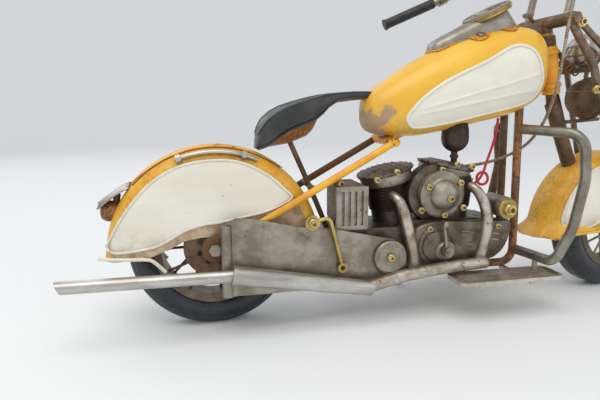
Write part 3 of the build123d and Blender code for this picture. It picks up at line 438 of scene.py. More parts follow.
BOARD_STEEL = metal(
    "board_steel", (0.43, 0.40, 0.335), (0.30, 0.27, 0.215), (0.14, 0.08, 0.045), 0.05, 17.0, (0.34, 0.52),
)
RIM_STEEL = metal(
    "rim_steel", (0.20, 0.165, 0.125), (0.115, 0.085, 0.06), (0.10, 0.045, 0.02), 0.12, 18.0, (0.38, 0.6),
    metallic=0.75,
)
YOKE_STEEL = metal(
    "yoke_steel", (0.27, 0.215, 0.16), (0.155, 0.105, 0.065), (0.20, 0.085, 0.022), 0.12, 19.0,
    (0.34, 0.55), metallic=0.75,
)
GUARD_DIRT = plain("guard_dirt", (0.60, 0.46, 0.31), (0.30, 0.165, 0.08), 85, 0.55, 0.2, seed=5.0)
LINE_BROWN = plain("line_brown", (0.20, 0.085, 0.02), (0.12, 0.05, 0.02), 120, 0.5, 0.1, seed=6.0)
MATERIALS["saddle_leather"].node_tree.nodes["Principled BSDF"].inputs["Coat Weight"].default_value = 0.15

SPECIAL = {
    "frame_spine": OLD_YELLOW,
    "rear_stays": STAY_YELLOW,
    "downtube_right": CHIPPED_ORANGE,
    "tail_pipe": BRIGHT_STEEL,
    "exhaust_sleeve": BRIGHT_STEEL,
    "crash_bar_right": BAR_STEEL,
    "exhaust_collector": STAINED_STEEL,
    "footboards": FOOT_STEEL,
    "front_rim": RIM_STEEL,
    "rear_rim": RIM_STEEL,
    "top_yoke": YOKE_STEEL,
    "girders": YOKE_STEEL,
}


def smooth(mesh, angle=32.0):
    mesh.shade_smooth()
    mesh.set_sharp_from_angle(angle=math.radians(angle))


def dress(piece, material):
    piece.data.materials.clear()
    piece.data.materials.append(material)
    if hasattr(piece.data, "polygons"):
        piece.data.polygons.foreach_set("material_index", [0] * len(piece.data.polygons))
    return piece


for subpart in frame["record"]["subparts"]:
    node = frame["nodes"][subpart["node"]]
    dress(node, SPECIAL.get(subpart["node"], MATERIALS[subpart["material_slot"]]))


def look(slot, material=None):
    """What a piece wears: a material, and the slot of the record that it stands under."""
    return material or MATERIALS[slot], slot


STEEL, RUSTED, CAST, BRASS = (look(slot) for slot in ("worn_steel", "rusty_steel", "cast_case", "brass"))
BRIGHT, CHIPPED = look("worn_steel", BRIGHT_STEEL), look("rusty_steel", CHIPPED_ORANGE)
DIRTY, AGED_YELLOW = look("cream_paint", GUARD_DIRT), look("yellow_paint", OLD_YELLOW)
CREAM, YELLOW_LOOK, LEATHER = (look(slot) for slot in ("cream_paint", "yellow_paint", "saddle_leather"))


# ---------------------------------------------------------------- mesh kit


def build(name, points, faces, wear, body="frame", steered=False, bend=32.0, replaced=()):
    """A mesh piece from row points, turned with the fork if it is drawn straight ahead."""
    mesh = bpy.data.meshes.new(name)
    mesh.from_pydata([tuple(p) for p in points], [], faces)
    mesh.validate()
    bm = bmesh.new()
    bm.from_mesh(mesh)
    bmesh.ops.recalc_face_normals(bm, faces=bm.faces)
    bm.to_mesh(mesh)
    bm.free()
    if steered:
        mesh.transform(steer_matrix())
    smooth(mesh, bend)
    piece = bpy.data.objects.new(name, mesh)
    bpy.context.scene.collection.objects.link(piece)
    mesh.materials.append(wear[0])
    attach(piece, body)
    if replaced:
        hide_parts(*replaced)
    return piece


def thicken(piece, sheet, side):
    """Give a bare surface its sheet thickness in millimetres; side 1 grows it outward and -1 inward."""
    solid = piece.modifiers.new("thickness", "SOLIDIFY")
    solid.thickness = sheet * MM
    solid.offset = side


def sheet_piece(name, points, columns, wear, thickness=0, side=0, bend=60.0, replaced=()):
    """An open sheet from rows of points, thickened if a thickness in millimetres is given."""
    faces = grid_faces(len(points) // columns, columns, wrap_columns=False)
    piece = build(name, points, faces, wear, bend=bend, replaced=replaced)
    if thickness:
        thicken(piece, thickness, side)
    return piece


def grid_faces(rows, columns, wrap_rows=False, wrap_columns=True, capped=False):
    """Quads over a grid of points, row by row, and a face over each end row if it is capped."""
    faces = []
    for i in range(rows if wrap_rows else rows - 1):
        for k in range(columns if wrap_columns else columns - 1):
            a, b = i, (i + 1) % rows
            c, d = k, (k + 1) % columns
            faces.append((a * columns + c, a * columns + d, b * columns + d, b * columns + c))
    if capped:
        last = (rows - 1) * columns
        faces += [tuple(reversed(range(columns))), tuple(range(last, last + columns))]
    return faces


def cross_axes(axis):
    """Two directions square to an axis and to each other."""
    helper = Vector((0, 0, 1)) if abs(axis.z) < 0.9 else Vector((1, 0, 0))
    first = axis.cross(helper).normalized()
    return first, axis.cross(first)


def spoke(first, second, angle):
    """The direction at an angle from the first axis towards the second."""
    return first * math.cos(angle) + second * math.sin(angle)


def tube_rings(line, radius, sides, closed=False, ridge=None):
    """Rings of points along a row line; ridge(distance, angle) scales the radius."""
    line = [Vector(p) for p in line]
    count = len(line)
    rings, travelled, normal = [], 0.0, None
    for i, point in enumerate(line):
        after = line[(i + 1) % count] if closed or i < count - 1 else point
        before = line[i - 1] if closed or i > 0 else point
        along = (after - before).normalized()
        if normal is None:
            normal = cross_axes(along)[0]
        normal = (normal - along * normal.dot(along)).normalized()
        other = along.cross(normal)
        reach = radius(i / (count - 1)) if callable(radius) else radius
        if i:
            travelled += (point - line[i - 1]).length
        for k in range(sides):
            angle = 2 * math.pi * k / sides
            scale = ridge(travelled, angle) if ridge else 1.0
            rings.append(point + spoke(normal, other, angle) * reach * scale)
    return rings


def tube_piece(name, line, radius, wear, body="frame", sides=12, closed=False, steered=False, replaced=()):
    points = tube_rings(line, radius, sides, closed)
    faces = grid_faces(len(line), sides, wrap_rows=closed, capped=not closed)
    return build(name, points, faces, wear, body, steered, 40.0, replaced)


def rounded_line(corners, steps=10, closed=False, tension=0.5):
    """A smooth curve through the corners."""
    corners = [np.array(c, float) for c in corners]
    count = len(corners)
    out = []
    for i in range(count if closed else count - 1):
        p1, p2 = corners[i], corners[(i + 1) % count]
        p0 = corners[i - 1] if closed or i > 0 else p1
        p3 = corners[(i + 2) % count] if closed or i < count - 2 else p2
        for k in range(steps):
            t = k / steps
            m1, m2 = tension * (p2 - p0), tension * (p3 - p1)
            h1, h2 = 2 * t**3 - 3 * t**2 + 1, t**3 - 2 * t**2 + t
            h3, h4 = -2 * t**3 + 3 * t**2, t**3 - t**2
            out.append(h1 * p1 + h2 * m1 + h3 * p2 + h4 * m2)
    if not closed:
        out.append(corners[-1])
    return out


def lathe(
    name, profile, origin, axis, wear, body="frame", steered=False, segments=64, replaced=(), bend=32.0,
):
    """A turned piece: profile is (radius, distance along the axis) in millimetres."""
    axis = Vector(axis).normalized()
    first, second = cross_axes(axis)
    points = []
    for radius, along in profile:
        for k in range(segments):
            angle = 2 * math.pi * k / segments
            points.append(origin + axis * along * MM + spoke(first, second, angle) * max(radius, 0.01) * MM)
    faces = grid_faces(len(profile), segments, capped=True)
    return build(name, points, faces, wear, body, steered, bend, replaced)


def bowl_profile(radius):
    """The closed back half of a round bowl, from its pole to its widest."""
    turns = [math.radians(angle) for angle in range(8, 91, 8)]
    return [(0.4, -radius)] + [(radius * math.sin(turn), -radius * math.cos(turn)) for turn in turns]


def arc_profile(centre_r, centre_h, radius, start, end, steps=10):
    """Profile points on an arc, angles in degrees from the outward direction."""
    out = []
    for k in range(steps + 1):
        angle = math.radians(start + (end - start) * k / steps)
        out.append((centre_r + radius * math.cos(angle), centre_h + radius * math.sin(angle)))
    return out


# ---------------------------------------------------------------- cords


LEAD_ROUTE = [
    (199.6, -14, 136), (199.2, -14, 127), (196, -14.6, 116), (192, -15.4, 106), (189.6, -15.6, 97.5),
    (185.5, -14.8, 90.5), (177, -12.6, 86),
]
CABLE_ROUTE = [
    (249, -21, 235), (242, -27.5, 216), (237, -30, 198), (235, -30.2, 178), (233.5, -29, 158),
    (231.5, -25, 140), (230.5, -16, 125), (
        226.5, -5.5, 113,
    ), (211, -2, 105.5), (194, -3, 102), (178, -3.6, 101),
]


LEAD_LENGTH, LEAD_WIDTH = 0.0578, 0.0018
CABLE_LENGTH, CABLE_WIDTH = 0.1823, 0.0022
TURN_PITCH, TURN_RIDGE, TURN_STEP = 1.9, 0.2, 0.30
CORD_SIDES = 12


def route_curve(name, route, width):
    """A curve object along a route of corners in millimetres, as thick as the cord."""
    data = bpy.data.curves.new(name, "CURVE")
    data.dimensions = "3D"
    spline = data.splines.new("NURBS")
    spline.points.add(len(route) - 1)
    for point, corner in zip(spline.points, route):
        point.co = (*place(*corner), 1)
    spline.order_u = 3
    spline.use_endpoint_u = True
    data.resolution_u = 24
    data.bevel_depth = width / 2
    data.bevel_resolution = 6
    return bpy.data.objects.new(name, data)


def line_of(curve):
    """The points of a route's own spline, in order."""
    depth = curve.data.bevel_depth
    curve.data.bevel_depth = 0
    bare = bpy.data.meshes.new_from_object(curve)
    points = [v.co.copy() for v in bare.vertices]
    bpy.data.meshes.remove(bare)
    curve.data.bevel_depth = depth
    return points


def add_cords():
    """The red lead with its eye, and the wound cable that runs from the frame to the fork."""
    lead = route_curve("ignition_lead_wire", LEAD_ROUTE, LEAD_WIDTH)
    bpy.context.scene.collection.objects.link(lead)
    lead.data.materials.append(MATERIALS["red_wire"])
    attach(lead, "frame")
    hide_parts("ignition_lead")
    loop, (eye_x, eye_y, eye_z), eye_radius = [], (189.2, -15.4, 93.8), 4.3
    for step in range(32):
        turn = 2 * math.pi * step / 32
        c, s = math.cos(turn), math.sin(turn)
        loop.append(place(eye_x + eye_radius * c, eye_y + 0.6 * s, eye_z + eye_radius * s))
    eye = tube_piece("ignition_lead_eye", loop, 0.95 * MM, look("red_wire"), sides=CORD_SIDES, closed=True)
    guide = route_curve("cable_guide", CABLE_ROUTE, CABLE_WIDTH)
    bpy.context.scene.collection.objects.link(guide)
    line = line_of(guide)
    bpy.data.objects.remove(guide)
    fine = [line[0]]
    for a, b in zip(line, line[1:]):
        pieces = max(1, round((b - a).length / (TURN_STEP * MM)))
        fine += [a.lerp(b, (k + 1) / pieces) for k in range(pieces)]

    def turns(run, angle):
        return 1.0 + TURN_RIDGE * math.cos(2 * math.pi * run / (TURN_PITCH * MM) - angle)

    points = tube_rings(fine, 1.05 * MM, CORD_SIDES, ridge=turns)
    faces = grid_faces(len(fine), CORD_SIDES, capped=True)
    mesh = bpy.data.meshes.new("throttle_cable_wound")
    mesh.from_pydata([tuple(p) for p in points], [], faces)
    mesh.validate()
    smooth(mesh, 60)
    cable = bpy.data.objects.new("throttle_cable_wound", mesh)
    bpy.context.scene.collection.objects.link(cable)
    mesh.materials.append(MATERIALS["braided_cable"])
    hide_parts("throttle_cable")
    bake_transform(cable)


add_cords()


def along(table, x):
    """The second value of a table of pairs, read between its rows at a place along the first."""
    return float(np.interp(x, [row[0] for row in table], [row[1] for row in table]))


# ---------------------------------------------------------------- mudguards

SIDES = ((1, "left"), (-1, "right"))
GUARD_HALF = 15.5
CROWN_TURN, CROWN_FLAT, CROWN_POWER = 10, 0.28, 1.05
CAP_MIDDLE = (116.8, 43.8)
SHEET = 1.2
PLATE_FROM = 14
RAIL_REACH, RAIL_SIDE = 67.4, 14.9
PANEL_LIFT, BEAD_LIFT = 0.55, 0.2


def ray_depth(middle, angle, outline, longest):
    """How far from the middle the ray at that angle from upright crosses the lower outline."""
    dx, dz = math.sin(angle), math.cos(angle)
    found = []
    for (x1, z1), (x2, z2) in zip(outline, outline[1:]):
        ex, ez = x2 - x1, z2 - z1
        cross = dx * ez - dz * ex
        if abs(cross) < 1e-9:
            continue
        reach = ((x1 - middle[0]) * ez - (z1 - middle[1]) * ex) / cross
        share = ((x1 - middle[0]) * dz - (z1 - middle[1]) * dx) / cross
        if reach > 0 and -0.001 <= share <= 1.001:
            found.append(reach)
    return min(max(found), longest) if found else longest


def guard_section(radius, depth, flare, spread):
    """Outer points across the guard, from the right plate's lower edge over the crown."""
    half = []
    for share in (0, 0.2, 0.4, 0.6, 0.8, 1.0):
        half.append((GUARD_HALF, depth + (radius - CROWN_TURN - depth) * share))
    for angle in (12, 26, 40, 54, 68, 80):
        turn = math.radians(angle)
        width = GUARD_HALF * (CROWN_FLAT + (1 - CROWN_FLAT) * math.cos(turn))
        half.append((width, radius - CROWN_TURN + CROWN_TURN * math.sin(turn) ** CROWN_POWER))
    half.append((2.4, radius - 0.02))
    spread_half = [(y + (flare * spread if y > PLATE_FROM else 0), r + flare) for y, r in half]
    right = [(-y, r) for y, r in spread_half]
    return right + [(0, radius + flare)] + spread_half[::-1]


def guard_stations(middle, radius, edge, start, count, flare=0.0, flared_rows=1.0):
    """Rows every two degrees round a middle: (x, z, angle from upright, radius, depth, flare)."""
    rows = []
    for step in range(count):
        angle = start + step * 2.0
        depth = ray_depth(middle, math.radians(angle), edge, radius - CROWN_TURN)
        rows.append((*middle, angle, radius, depth, flare * max(0.0, 1 - step / flared_rows) ** 2))
    return rows


def mudguard(name, stations, body, replaced, steered, spread=1.0):
    """stations: (middle x, middle z, angle from upright in degrees, radius, depth, flare)."""
    outer, inner = [], []
    for x, z, angle, radius, depth, flare in stations:
        turn = math.radians(angle)
        section = guard_section(radius, depth, flare, spread)
        mean = GUARD_HALF - SHEET
        for y, r in section:
            outer.append(place(x + math.sin(turn) * r, y, z + math.cos(turn) * r))
            thin_y = max(-mean, min(mean, y * mean / GUARD_HALF))
            thin_r = r - SHEET * max(0.0, r - radius + CROWN_TURN) / CROWN_TURN
            inner.append(place(x + math.sin(turn) * thin_r, thin_y, z + math.cos(turn) * thin_r))
    rows, columns = len(stations), len(outer) // len(stations)
    skin = grid_faces(rows, columns, wrap_columns=False)
    shift = len(outer)
    faces = list(skin) + [tuple(i + shift for i in reversed(face)) for face in skin]
    for row in (0, rows - 1):
        for k in range(columns - 1):
            a, b = row * columns + k, row * columns + k + 1
            faces.append((a, b, b + shift, a + shift))
    for column in (0, columns - 1):
        for i in range(rows - 1):
            a, b = i * columns + column, (i + 1) * columns + column
            faces.append((a, b, b + shift, a + shift))
    return build(name, outer + inner, faces, YELLOW_LOOK, body, steered, 50.0, replaced)


def edge_roll(name, stations, side, body, steered, wear, radius):
    """The rolled lip that runs along the lower edge of one side plate."""
    line = []
    for x, z, angle, _, depth, flare in stations:
        turn = math.radians(angle)
        y = side * (GUARD_HALF - 0.3 + flare)
        line.append(place(x + math.sin(turn) * depth, y, z + math.cos(turn) * depth))
    return tube_piece(name, line, radius * MM, wear, body, 10, steered=steered)


def guard_half_at(x, z, centres, radius):
    """Half the guard's width where its crown turns down, at a place seen from the side."""
    low, high = centres[0], centres[-1]
    middle_x = min(max(x, low[0]), high[0])
    reach = math.hypot(x - middle_x, z - low[1])
    if reach <= radius - CROWN_TURN:
        return GUARD_HALF
    rise = min(1.0, (reach - radius + CROWN_TURN) / CROWN_TURN)
    return GUARD_HALF * (CROWN_FLAT + (1 - CROWN_FLAT) * math.cos(math.asin(rise ** (1 / CROWN_POWER))))


def inlay(name, outline, side, body, steered, centres, radius):
    """A cream panel with a raised bead round it, laid on a side of the guard."""
    ring = rounded_line(outline, 8, closed=True)
    middle = sum(ring) / len(ring)
    points, rings = [], 14
    for k in range(rings, 0, -1):
        for corner in ring:
            x, z = middle + (corner - middle) * k / rings
            points.append(place(x, side * (guard_half_at(x, z, centres, radius) + PANEL_LIFT), z))
    points.append(place(middle[0], side * (GUARD_HALF + PANEL_LIFT), middle[1]))
    count = len(ring)
    faces = grid_faces(rings, count)
    last = (rings - 1) * count
    faces += [(last + i, last + (i + 1) % count, rings * count) for i in range(count)]
    panel = build(name, points, faces, look("cream_paint", FENDER_CREAM), body, steered, 60.0)
    thicken(panel, 0.5, -1)
    bead_line = [place(x, side * (guard_half_at(x, z, centres, radius) + BEAD_LIFT), z) for x, z in ring]
    tube_piece(f"{name}_bead", bead_line, 0.95 * MM, CREAM, body, 10, closed=True, steered=steered)
    return panel


def fender_cream():
    """Cream enamel that darkens to a dirty brown towards the lower edge, with painted shade in the corners."""
    finish = Finish("fender_cream_enamel", roughness=0.42)
    tone = finish.span(finish.noise(45, 5, 0.6, stretch=(0.3, 1, 1), seed=3), 0.3, 0.7)
    body = finish.blend(tone, (0.84, 0.81, 0.70), (0.76, 0.72, 0.60))
    low = finish.span(finish.noise(70, 5, 0.65, seed=8), 0.3, 0.7, -0.006, 0.006)
    shade_and_grime = finish.span(finish.along_axis(2, low), 0.054, 0.068, 0.42, 0.0)
    spots = finish.span(finish.noise(240, 5, 0.7, seed=12), 0.67, 0.73, 0.0, 0.6)
    scratch = finish.span(finish.noise(330, 3, 0.7, stretch=(0.05, 1, 1), seed=15), 0.66, 0.7, 0.0, 0.35)
    # Painted shade: the AO node darkens the corners.
    corner = finish.span(finish.crevice(4 * MM), 0.3, 0.85, 0.8, 0.0)
    # Dirty brown towards the lower edge, stains, scratches and the painted corner shade together.
    dirt_and_shade = finish.maths(
        "MAXIMUM", finish.maths("MAXIMUM", shade_and_grime, corner), finish.maths("MAXIMUM", spots, scratch),
    )
    mottled = finish.maths("MULTIPLY", dirt_and_shade, finish.span(finish.noise(120, 5, 0.7, seed=20), 0.25, 0.6))
    finish.link(finish.blend(mottled, body, (0.25, 0.135, 0.065)), finish.shader.inputs["Base Color"])
    finish.bump(tone, 0.1, 0.2 * MM)
    return finish.material


FENDER_CREAM = fender_cream()
REAR_EDGE = [(-90, 49.5), (-41, 50.5), (-33, 54), (-20, 61), (-8, 63), (5, 62.5), (60, 59), (90, 55)]
REAR_RADIUS = 70.3
REAR_MIDDLE = (2, 50)
REAR_STATIONS = guard_stations(REAR_MIDDLE, REAR_RADIUS, REAR_EDGE, -90.5, 89, 1.6, 3.0)
mudguard("rear_mudguard", REAR_STATIONS, "frame", ("rear_fender",), False, 0.0)
for side, word in SIDES:
    rolled = [(*s[:5], 0.0) for s in REAR_STATIONS if -82 < s[2] < 84]
    edge_roll(f"rear_edge_{word}", rolled, side, "frame", False, DIRTY, 0.8)
    lip = [
        (-71.6, 14.6, 52.4), (-64, 16, 51.6), (-52, 16.2, 50.8), (-43, 16.2, 50.2), (-38.6, 16, 48.4),
        (-31.4, 16, 41),
    ]
    tube_piece(
        f"rear_lip_{word}", [place(x, side * y, z) for x, y, z in rounded_line(lip, 6)], 1.2 * MM,
        CREAM, sides=10,
    )

REAR_INLAY = [
    (
        -65.5, 56.2,
    ), (-61.5, 69), (-50.5, 85.5), (-36.8, 99.5), (-19, 109), (2.4, 112), (20, 109.5), (36, 101),
    (46, 92), (51.2, 86), (44, 81.2), (32, 77), (
        14.2, 73.6,
    ), (3, 71.6), (-6.3, 70.8), (-19.3, 67), (-31, 60.6), (-42, 57),
]


def dirty_band(side, word):
    """The strip of bare, stained metal between the cream panel's lower bead and the guard's edge."""
    upper = [(-67, 55.8)] + REAR_INLAY[:8:-1] + [(56, 79.5), (62.4, 67)]
    points, columns, across, start, end = [], 90, 7, -66.5, 62
    for i in range(columns):
        x = start + (end - start) * i / (columns - 1)
        top, low = along(upper, x), along(REAR_EDGE, x) + 0.2
        for k in range(across):
            z = low + (top - low) * k / (across - 1)
            out = guard_half_at(x, z, [REAR_MIDDLE], REAR_RADIUS) + BEAD_LIFT
            points.append(place(x, side * out, z))
    sheet_piece(f"rear_dirty_band_{word}", points, across, DIRTY, 0.2, -1)


def rear_ray(angle, reach):
    """The place seen from the side at that reach from the rear guard's middle, angle from upright."""
    turn = math.radians(angle)
    return REAR_MIDDLE[0] + math.sin(turn) * reach, REAR_MIDDLE[1] + math.cos(turn) * reach


def crown_point(angle, y, lift):
    """A point on the rear guard's crown, angle in degrees from upright and positive forward."""
    share = (abs(y) / GUARD_HALF - CROWN_FLAT) / (1 - CROWN_FLAT)
    rise = math.sqrt(max(0.0, 1 - max(0.0, share) ** 2))
    x, z = rear_ray(angle, REAR_RADIUS - CROWN_TURN + CROWN_TURN * rise**CROWN_POWER + lift)
    return place(x, y, z)


def add_crown():
    """The raised yellow strip along the crown, its two brown lines and the grab rails beside it."""
    angles = [-50 + 2.5 * step for step in range(37)]
    across = (-8.3, -8, -6, -3, 0, 3, 6, 8, 8.3)
    points = []
    for row, angle in enumerate(angles):
        taper = min(1.0, 0.25 + row / 6, 0.25 + (len(angles) - 1 - row) / 6)
        for y in across:
            points.append(crown_point(angle, y * taper, 0.05 if abs(y) > 8.1 else 0.7))
    sheet_piece("crown_strip", points, len(across), AGED_YELLOW, bend=40.0)
    for side, word in SIDES:
        line = [crown_point(angle, side * 8.9, 0.15) for angle in angles[1:-1]]
        tube_piece(f"crown_line_{word}", line, 0.45 * MM, look("yellow_paint", LINE_BROWN), sides=8)
        run = [rear_ray(-20 + 2 * step, RAIL_REACH) for step in range(23)]
        tube_piece(
            f"grab_rail_{word}", [place(x, side * RAIL_SIDE, z) for x, z in run], 1.15 * MM, BRIGHT,
            replaced=("fender_rail",) if side == -1 else (),
        )
        for number, middle in enumerate((-19.5, 16.0)):
            ends = [rear_ray(middle + half, RAIL_REACH) for half in (-1.3, 1.3)]
            tube_piece(
                f"rail_collar_{word}_{number}", [
                    place(x, side * (RAIL_SIDE - 0.7), z) for x, z in ends
                ], 2.7 * MM, BRIGHT, sides=14,
            )


def add_tail_lamp():
    """A short rusty lamp under a ragged sheet-metal hood."""
    lathe(
        "tail_lamp_shell",
        [
            (6.2, 0), (6.6, 2), (6.8, 6.4), (6.3, 8), (5.9, 8.3), (5.6, 9.3), (4.2, 10.2), (2.2, 10.7),
            (0.4, 10.8),
        ],
        place(-60, 0, 79.4), (-1, 0, 0.04), CHIPPED, segments=40, replaced=("tail_lamp",),
    )
    tube_piece("tail_lamp_stalk", [place(-61, 0, 84), place(-59.6, 0, 90.6)], 2.2 * MM, CHIPPED, sides=10)
    rows = [(-51.5, 97.4), (-55, 96.4), (-60, 93.4), (-65, 89.8), (-68.4, 87.2), (-71, 85.2)]
    points, across, half = [], 13, 8.5
    for x, z in rows:
        for step in range(across):
            y = -half + 2 * half * step / (across - 1)
            drop = 0.035 * y * y
            torn = 0.5 * math.sin(5.1 * step + x) + 0.35 * math.sin(2.3 * step)
            points.append(
                place(x + (torn if x < -68 or x > -54 else 0), y + 0.3 * math.sin(x * 1.7), z - drop)
            )
    sheet_piece("tail_lamp_hood", points, across, BRIGHT, 1.0, 0)


FRONT_EDGE = [
    (225, 49), (262, 46), (290, 44), (302, 47), (308, 57), (316, 61), (325, 57), (334, 54), (352, 60),
    (390, 74),
]
FRONT_RADIUS = 60
FRONT_MIDDLES = [(304, 49), (316, 49)]
FRONT_STATIONS = guard_stations(FRONT_MIDDLES[0], FRONT_RADIUS, FRONT_EDGE, -92, 47, 8.0, 7.0)
FRONT_STATIONS += guard_stations(FRONT_MIDDLES[1], FRONT_RADIUS, FRONT_EDGE, 0, 37)
mudguard("front_mudguard", FRONT_STATIONS, "fork", ("front_fender",), True)
for side, word in SIDES:
    edge_roll(f"front_lip_{word}", FRONT_STATIONS, side, "fork", True, YELLOW_LOOK, 1.0)
FRONT_INLAY = [
    (254, 57), (259.5, 75), (274, 91), (293, 99.5), (
        314, 100.5,
    ), (334, 96.5), (350, 86), (358, 74), (345, 63.5),
    (330, 63), (316, 68), (303, 62), (284, 52.5), (266, 53),
]
for side, word in SIDES:
    rear = inlay(f"rear_inlay_{word}", REAR_INLAY, side, "frame", False, [REAR_MIDDLE], REAR_RADIUS)
    front = inlay(f"front_inlay_{word}", FRONT_INLAY, side, "fork", True, FRONT_MIDDLES, FRONT_RADIUS)
    if side == -1:
        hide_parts("rear_fender_panels")
        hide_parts("front_fender_panels")


for side, word in SIDES:
    dirty_band(side, word)
add_crown()
add_tail_lamp()


# ---------------------------------------------------------------- tank

TANK_STATIONS = [
    (103.6, 2.4, 137, 144.5), (104.2, 7.2, 132.5, 148.6), (
        105.6, 10.6, 129.6, 151.6,
    ), (108.6, 13.6, 127, 154.4),
    (
        118, 18.2, 124.6, 160.5,
    ), (140, 22.8, 123.8, 174.6), (165, 25.4, 127.6, 186.6), (190, 26.4, 132.8, 195.3),
    (213, 25.4, 138, 199), (227, 22, 144, 197.4), (234, 17.2, 150, 191.5), (
        237.4, 10.5, 157.5, 182,
    ), (238.2, 2.5, 166, 173),
]
TANK_POWER = 2.45


def tank_table():
    return rounded_line(TANK_STATIONS, 8)


def tank_row(x, table):
    """The tank's half width, underside and top at a place along it."""
    xs = np.array([row[0] for row in table])
    return tuple(np.interp(x, xs, [row[k] for row in table]) for k in (1, 2, 3))


def tank_half_width(x, z, table):
    """Half the tank's width at a place on its side, and nothing outside its height."""
    half, low, high = tank_row(x, table)
    rise = abs((z - (low + high) / 2) / ((high - low) / 2))
    return half * max(0.0, 1 - min(rise, 1.0) ** TANK_POWER) ** (1 / TANK_POWER)


def add_tank():
    """The tank's shell, and a pressed panel with a bead round it on each side."""
    table, around = tank_table(), 72
    points = []
    for x, half, low, high in table:
        middle, tall = (low + high) / 2, (high - low) / 2
        for k in range(around):
            angle = 2 * math.pi * k / around
            c, s = math.cos(angle), math.sin(angle)
            y = half * math.copysign(abs(c) ** (2 / TANK_POWER), c)
            z = middle + tall * math.copysign(abs(s) ** (2 / TANK_POWER), s)
            points.append(place(x, y, z))
    faces = grid_faces(len(table), around, capped=True)
    build(
        "tank_shell", points, faces, look("yellow_paint", TANK_YELLOW), "frame", False, 60.0,
        ("fuel_tank",),
    )
    ring = rounded_line(TANK_INLAY, 9, closed=True)
    middle = sum(ring) / len(ring)
    for side, word in SIDES:
        points, rings, count = [], 26, len(ring)
        for k in range(rings, -1, -1):
            for corner in ring:
                x, z = middle + (corner - middle) * k / rings
                proud = 0.35 + spear_height(x, z)
                points.append(place(x, side * (tank_half_width(x, z, table) + proud), z))
        faces = grid_faces(rings + 1, count)
        panel = build(f"tank_inlay_{word}", points, faces, TANK_PANEL, bend=60.0)
        bead = [place(x, side * (tank_half_width(x, z, table) + 0.25), z) for x, z in ring]
        tube_piece(f"tank_bead_{word}", bead, 1.15 * MM, TANK_PANEL, sides=12, closed=True)
        if side == -1:
            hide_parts("tank_panels")


TANK_INLAY = [
    (129.6, 139), (
        130.6, 133.4,
    ), (136.8, 130.6), (158, 133.4), (183, 138.8), (212.7, 145.4), (222.6, 150.5),
    (
        226.6, 159.6,
    ), (224.8, 169), (219.3, 179), (212, 183.4), (204.5, 184.2), (195.7, 181.2), (180.8, 173.2),
    (156.4, 162), (139.5, 150.6),
]


def spear_height(x, z):
    """Two pressed lines that run from the panel's narrow end and open towards its front."""
    start, length, deep, wide = 133, 90, 0.75, 0.95
    height, share = 0.0, (x - start) / length
    for rise_start, rise_end in ((138.5, 155.5), (141.5, 165.5)):
        line = rise_start + (rise_end - rise_start) * share
        if 0.02 < share < 1.0:
            height += deep * math.exp(-(((z - line) / wide) ** 2)) * min(1.0, share * 6)
    return height


def tank_paint():
    """The tank's yellow, scuffed down to grey metal at its rear tip."""
    finish = Finish("tank_enamel", roughness=0.34)
    tone = finish.span(finish.noise(26, 4, 0.55, seed=41), 0.35, 0.68)
    body = finish.blend(tone, (0.87, 0.52, 0.045), (0.82, 0.44, 0.03))
    ragged = finish.span(finish.noise(95, 6, 0.7, seed=44), 0.25, 0.75, -0.009, 0.009)
    tip = REAR_AXLE.x + 114 * MM
    scuff = finish.span(finish.along_axis(0, ragged), tip, tip + 0.006, 0.85, 0.0)
    below = finish.span(finish.along_axis(2, ragged), 0.139, 0.144, 1.0, 0.08)
    scuff = finish.maths("MULTIPLY", scuff, below)
    spots = finish.span(finish.noise(210, 5, 0.7, seed=47), 0.70, 0.74, 0.0, 0.7)
    # Darker towards the bottom of the tank, mottled by noise.
    low = finish.span(finish.along_axis(2), 0.128, 0.140, 0.35, 0.0)
    shade_and_grime = finish.maths("MULTIPLY", low, finish.span(finish.noise(130, 5, 0.7, seed=50), 0.42, 0.6))
    damage_and_shade = finish.maths("MAXIMUM", finish.maths("MAXIMUM", scuff, spots), shade_and_grime)
    finish.link(finish.blend(damage_and_shade, body, (0.33, 0.25, 0.19)), finish.shader.inputs["Base Color"])
    finish.set("Roughness", finish.span(damage_and_shade, 0, 1, 0.34, 0.62))
    finish.shader.inputs["Coat Weight"].default_value = 0.15
    finish.shader.inputs["Coat Roughness"].default_value = 0.28
    ripples = finish.noise(34, 2, 0.5, seed=53)
    finish.bump(ripples, 0.22, 1.2 * MM)
    return finish.material


TANK_YELLOW = tank_paint()
TANK_CREAM = paint(
    "tank_cream_enamel", (0.86, 0.83, 0.73), (0.79, 0.755, 0.64), (0.38, 0.27, 0.17), 0.7, 22.0, 0.4,
)
TANK_PANEL = look("cream_paint", TANK_CREAM)
add_tank()


# ---------------------------------------------------------------- saddle

SADDLE_TOP = [
    (
        30.5, 127.5,
    ), (32.5, 132.2), (36, 137.4), (42, 142), (49, 145.6), (59, 148.8), (68, 151.2), (75, 152.8),
    (84, 154), (96, 154.8), (106, 154.8), (112.5, 154.2), (117, 152.6),
]
SADDLE_EDGE = [
    (30.5, 117.6), (36, 120.4), (42, 125.2), (49, 130), (59, 133.6), (67, 136.6), (73, 140.6), (77, 144.4),
    (84, 148.6), (96, 150.4), (106, 150.6), (112.5, 150.6), (117, 151.4),
]
SADDLE_HALF = [
    (30.5, 9), (32.5, 13), (36, 16.4), (42, 19), (49, 20), (59, 19.4), (67, 16.8), (75, 12), (84, 8.8),
    (96, 7.2), (106, 6.2), (112.5, 4.8), (117, 1.6),
]
PAN_BOTTOM = [
    (28, 117.4), (50, 120.4), (62.8, 125), (
        66.9, 128.6,
    ), (70, 135.5), (73.5, 140.6), (84, 147), (96, 148.4), (112, 150),
]
SKIRT_SHARE, SKIRT_BULGE = 0.8, 0.7
ROLL_DROP, ROLL_INSET = 0.9, 0.4
WIDE_HALF, DISH_DEPTH = 20, 3.4


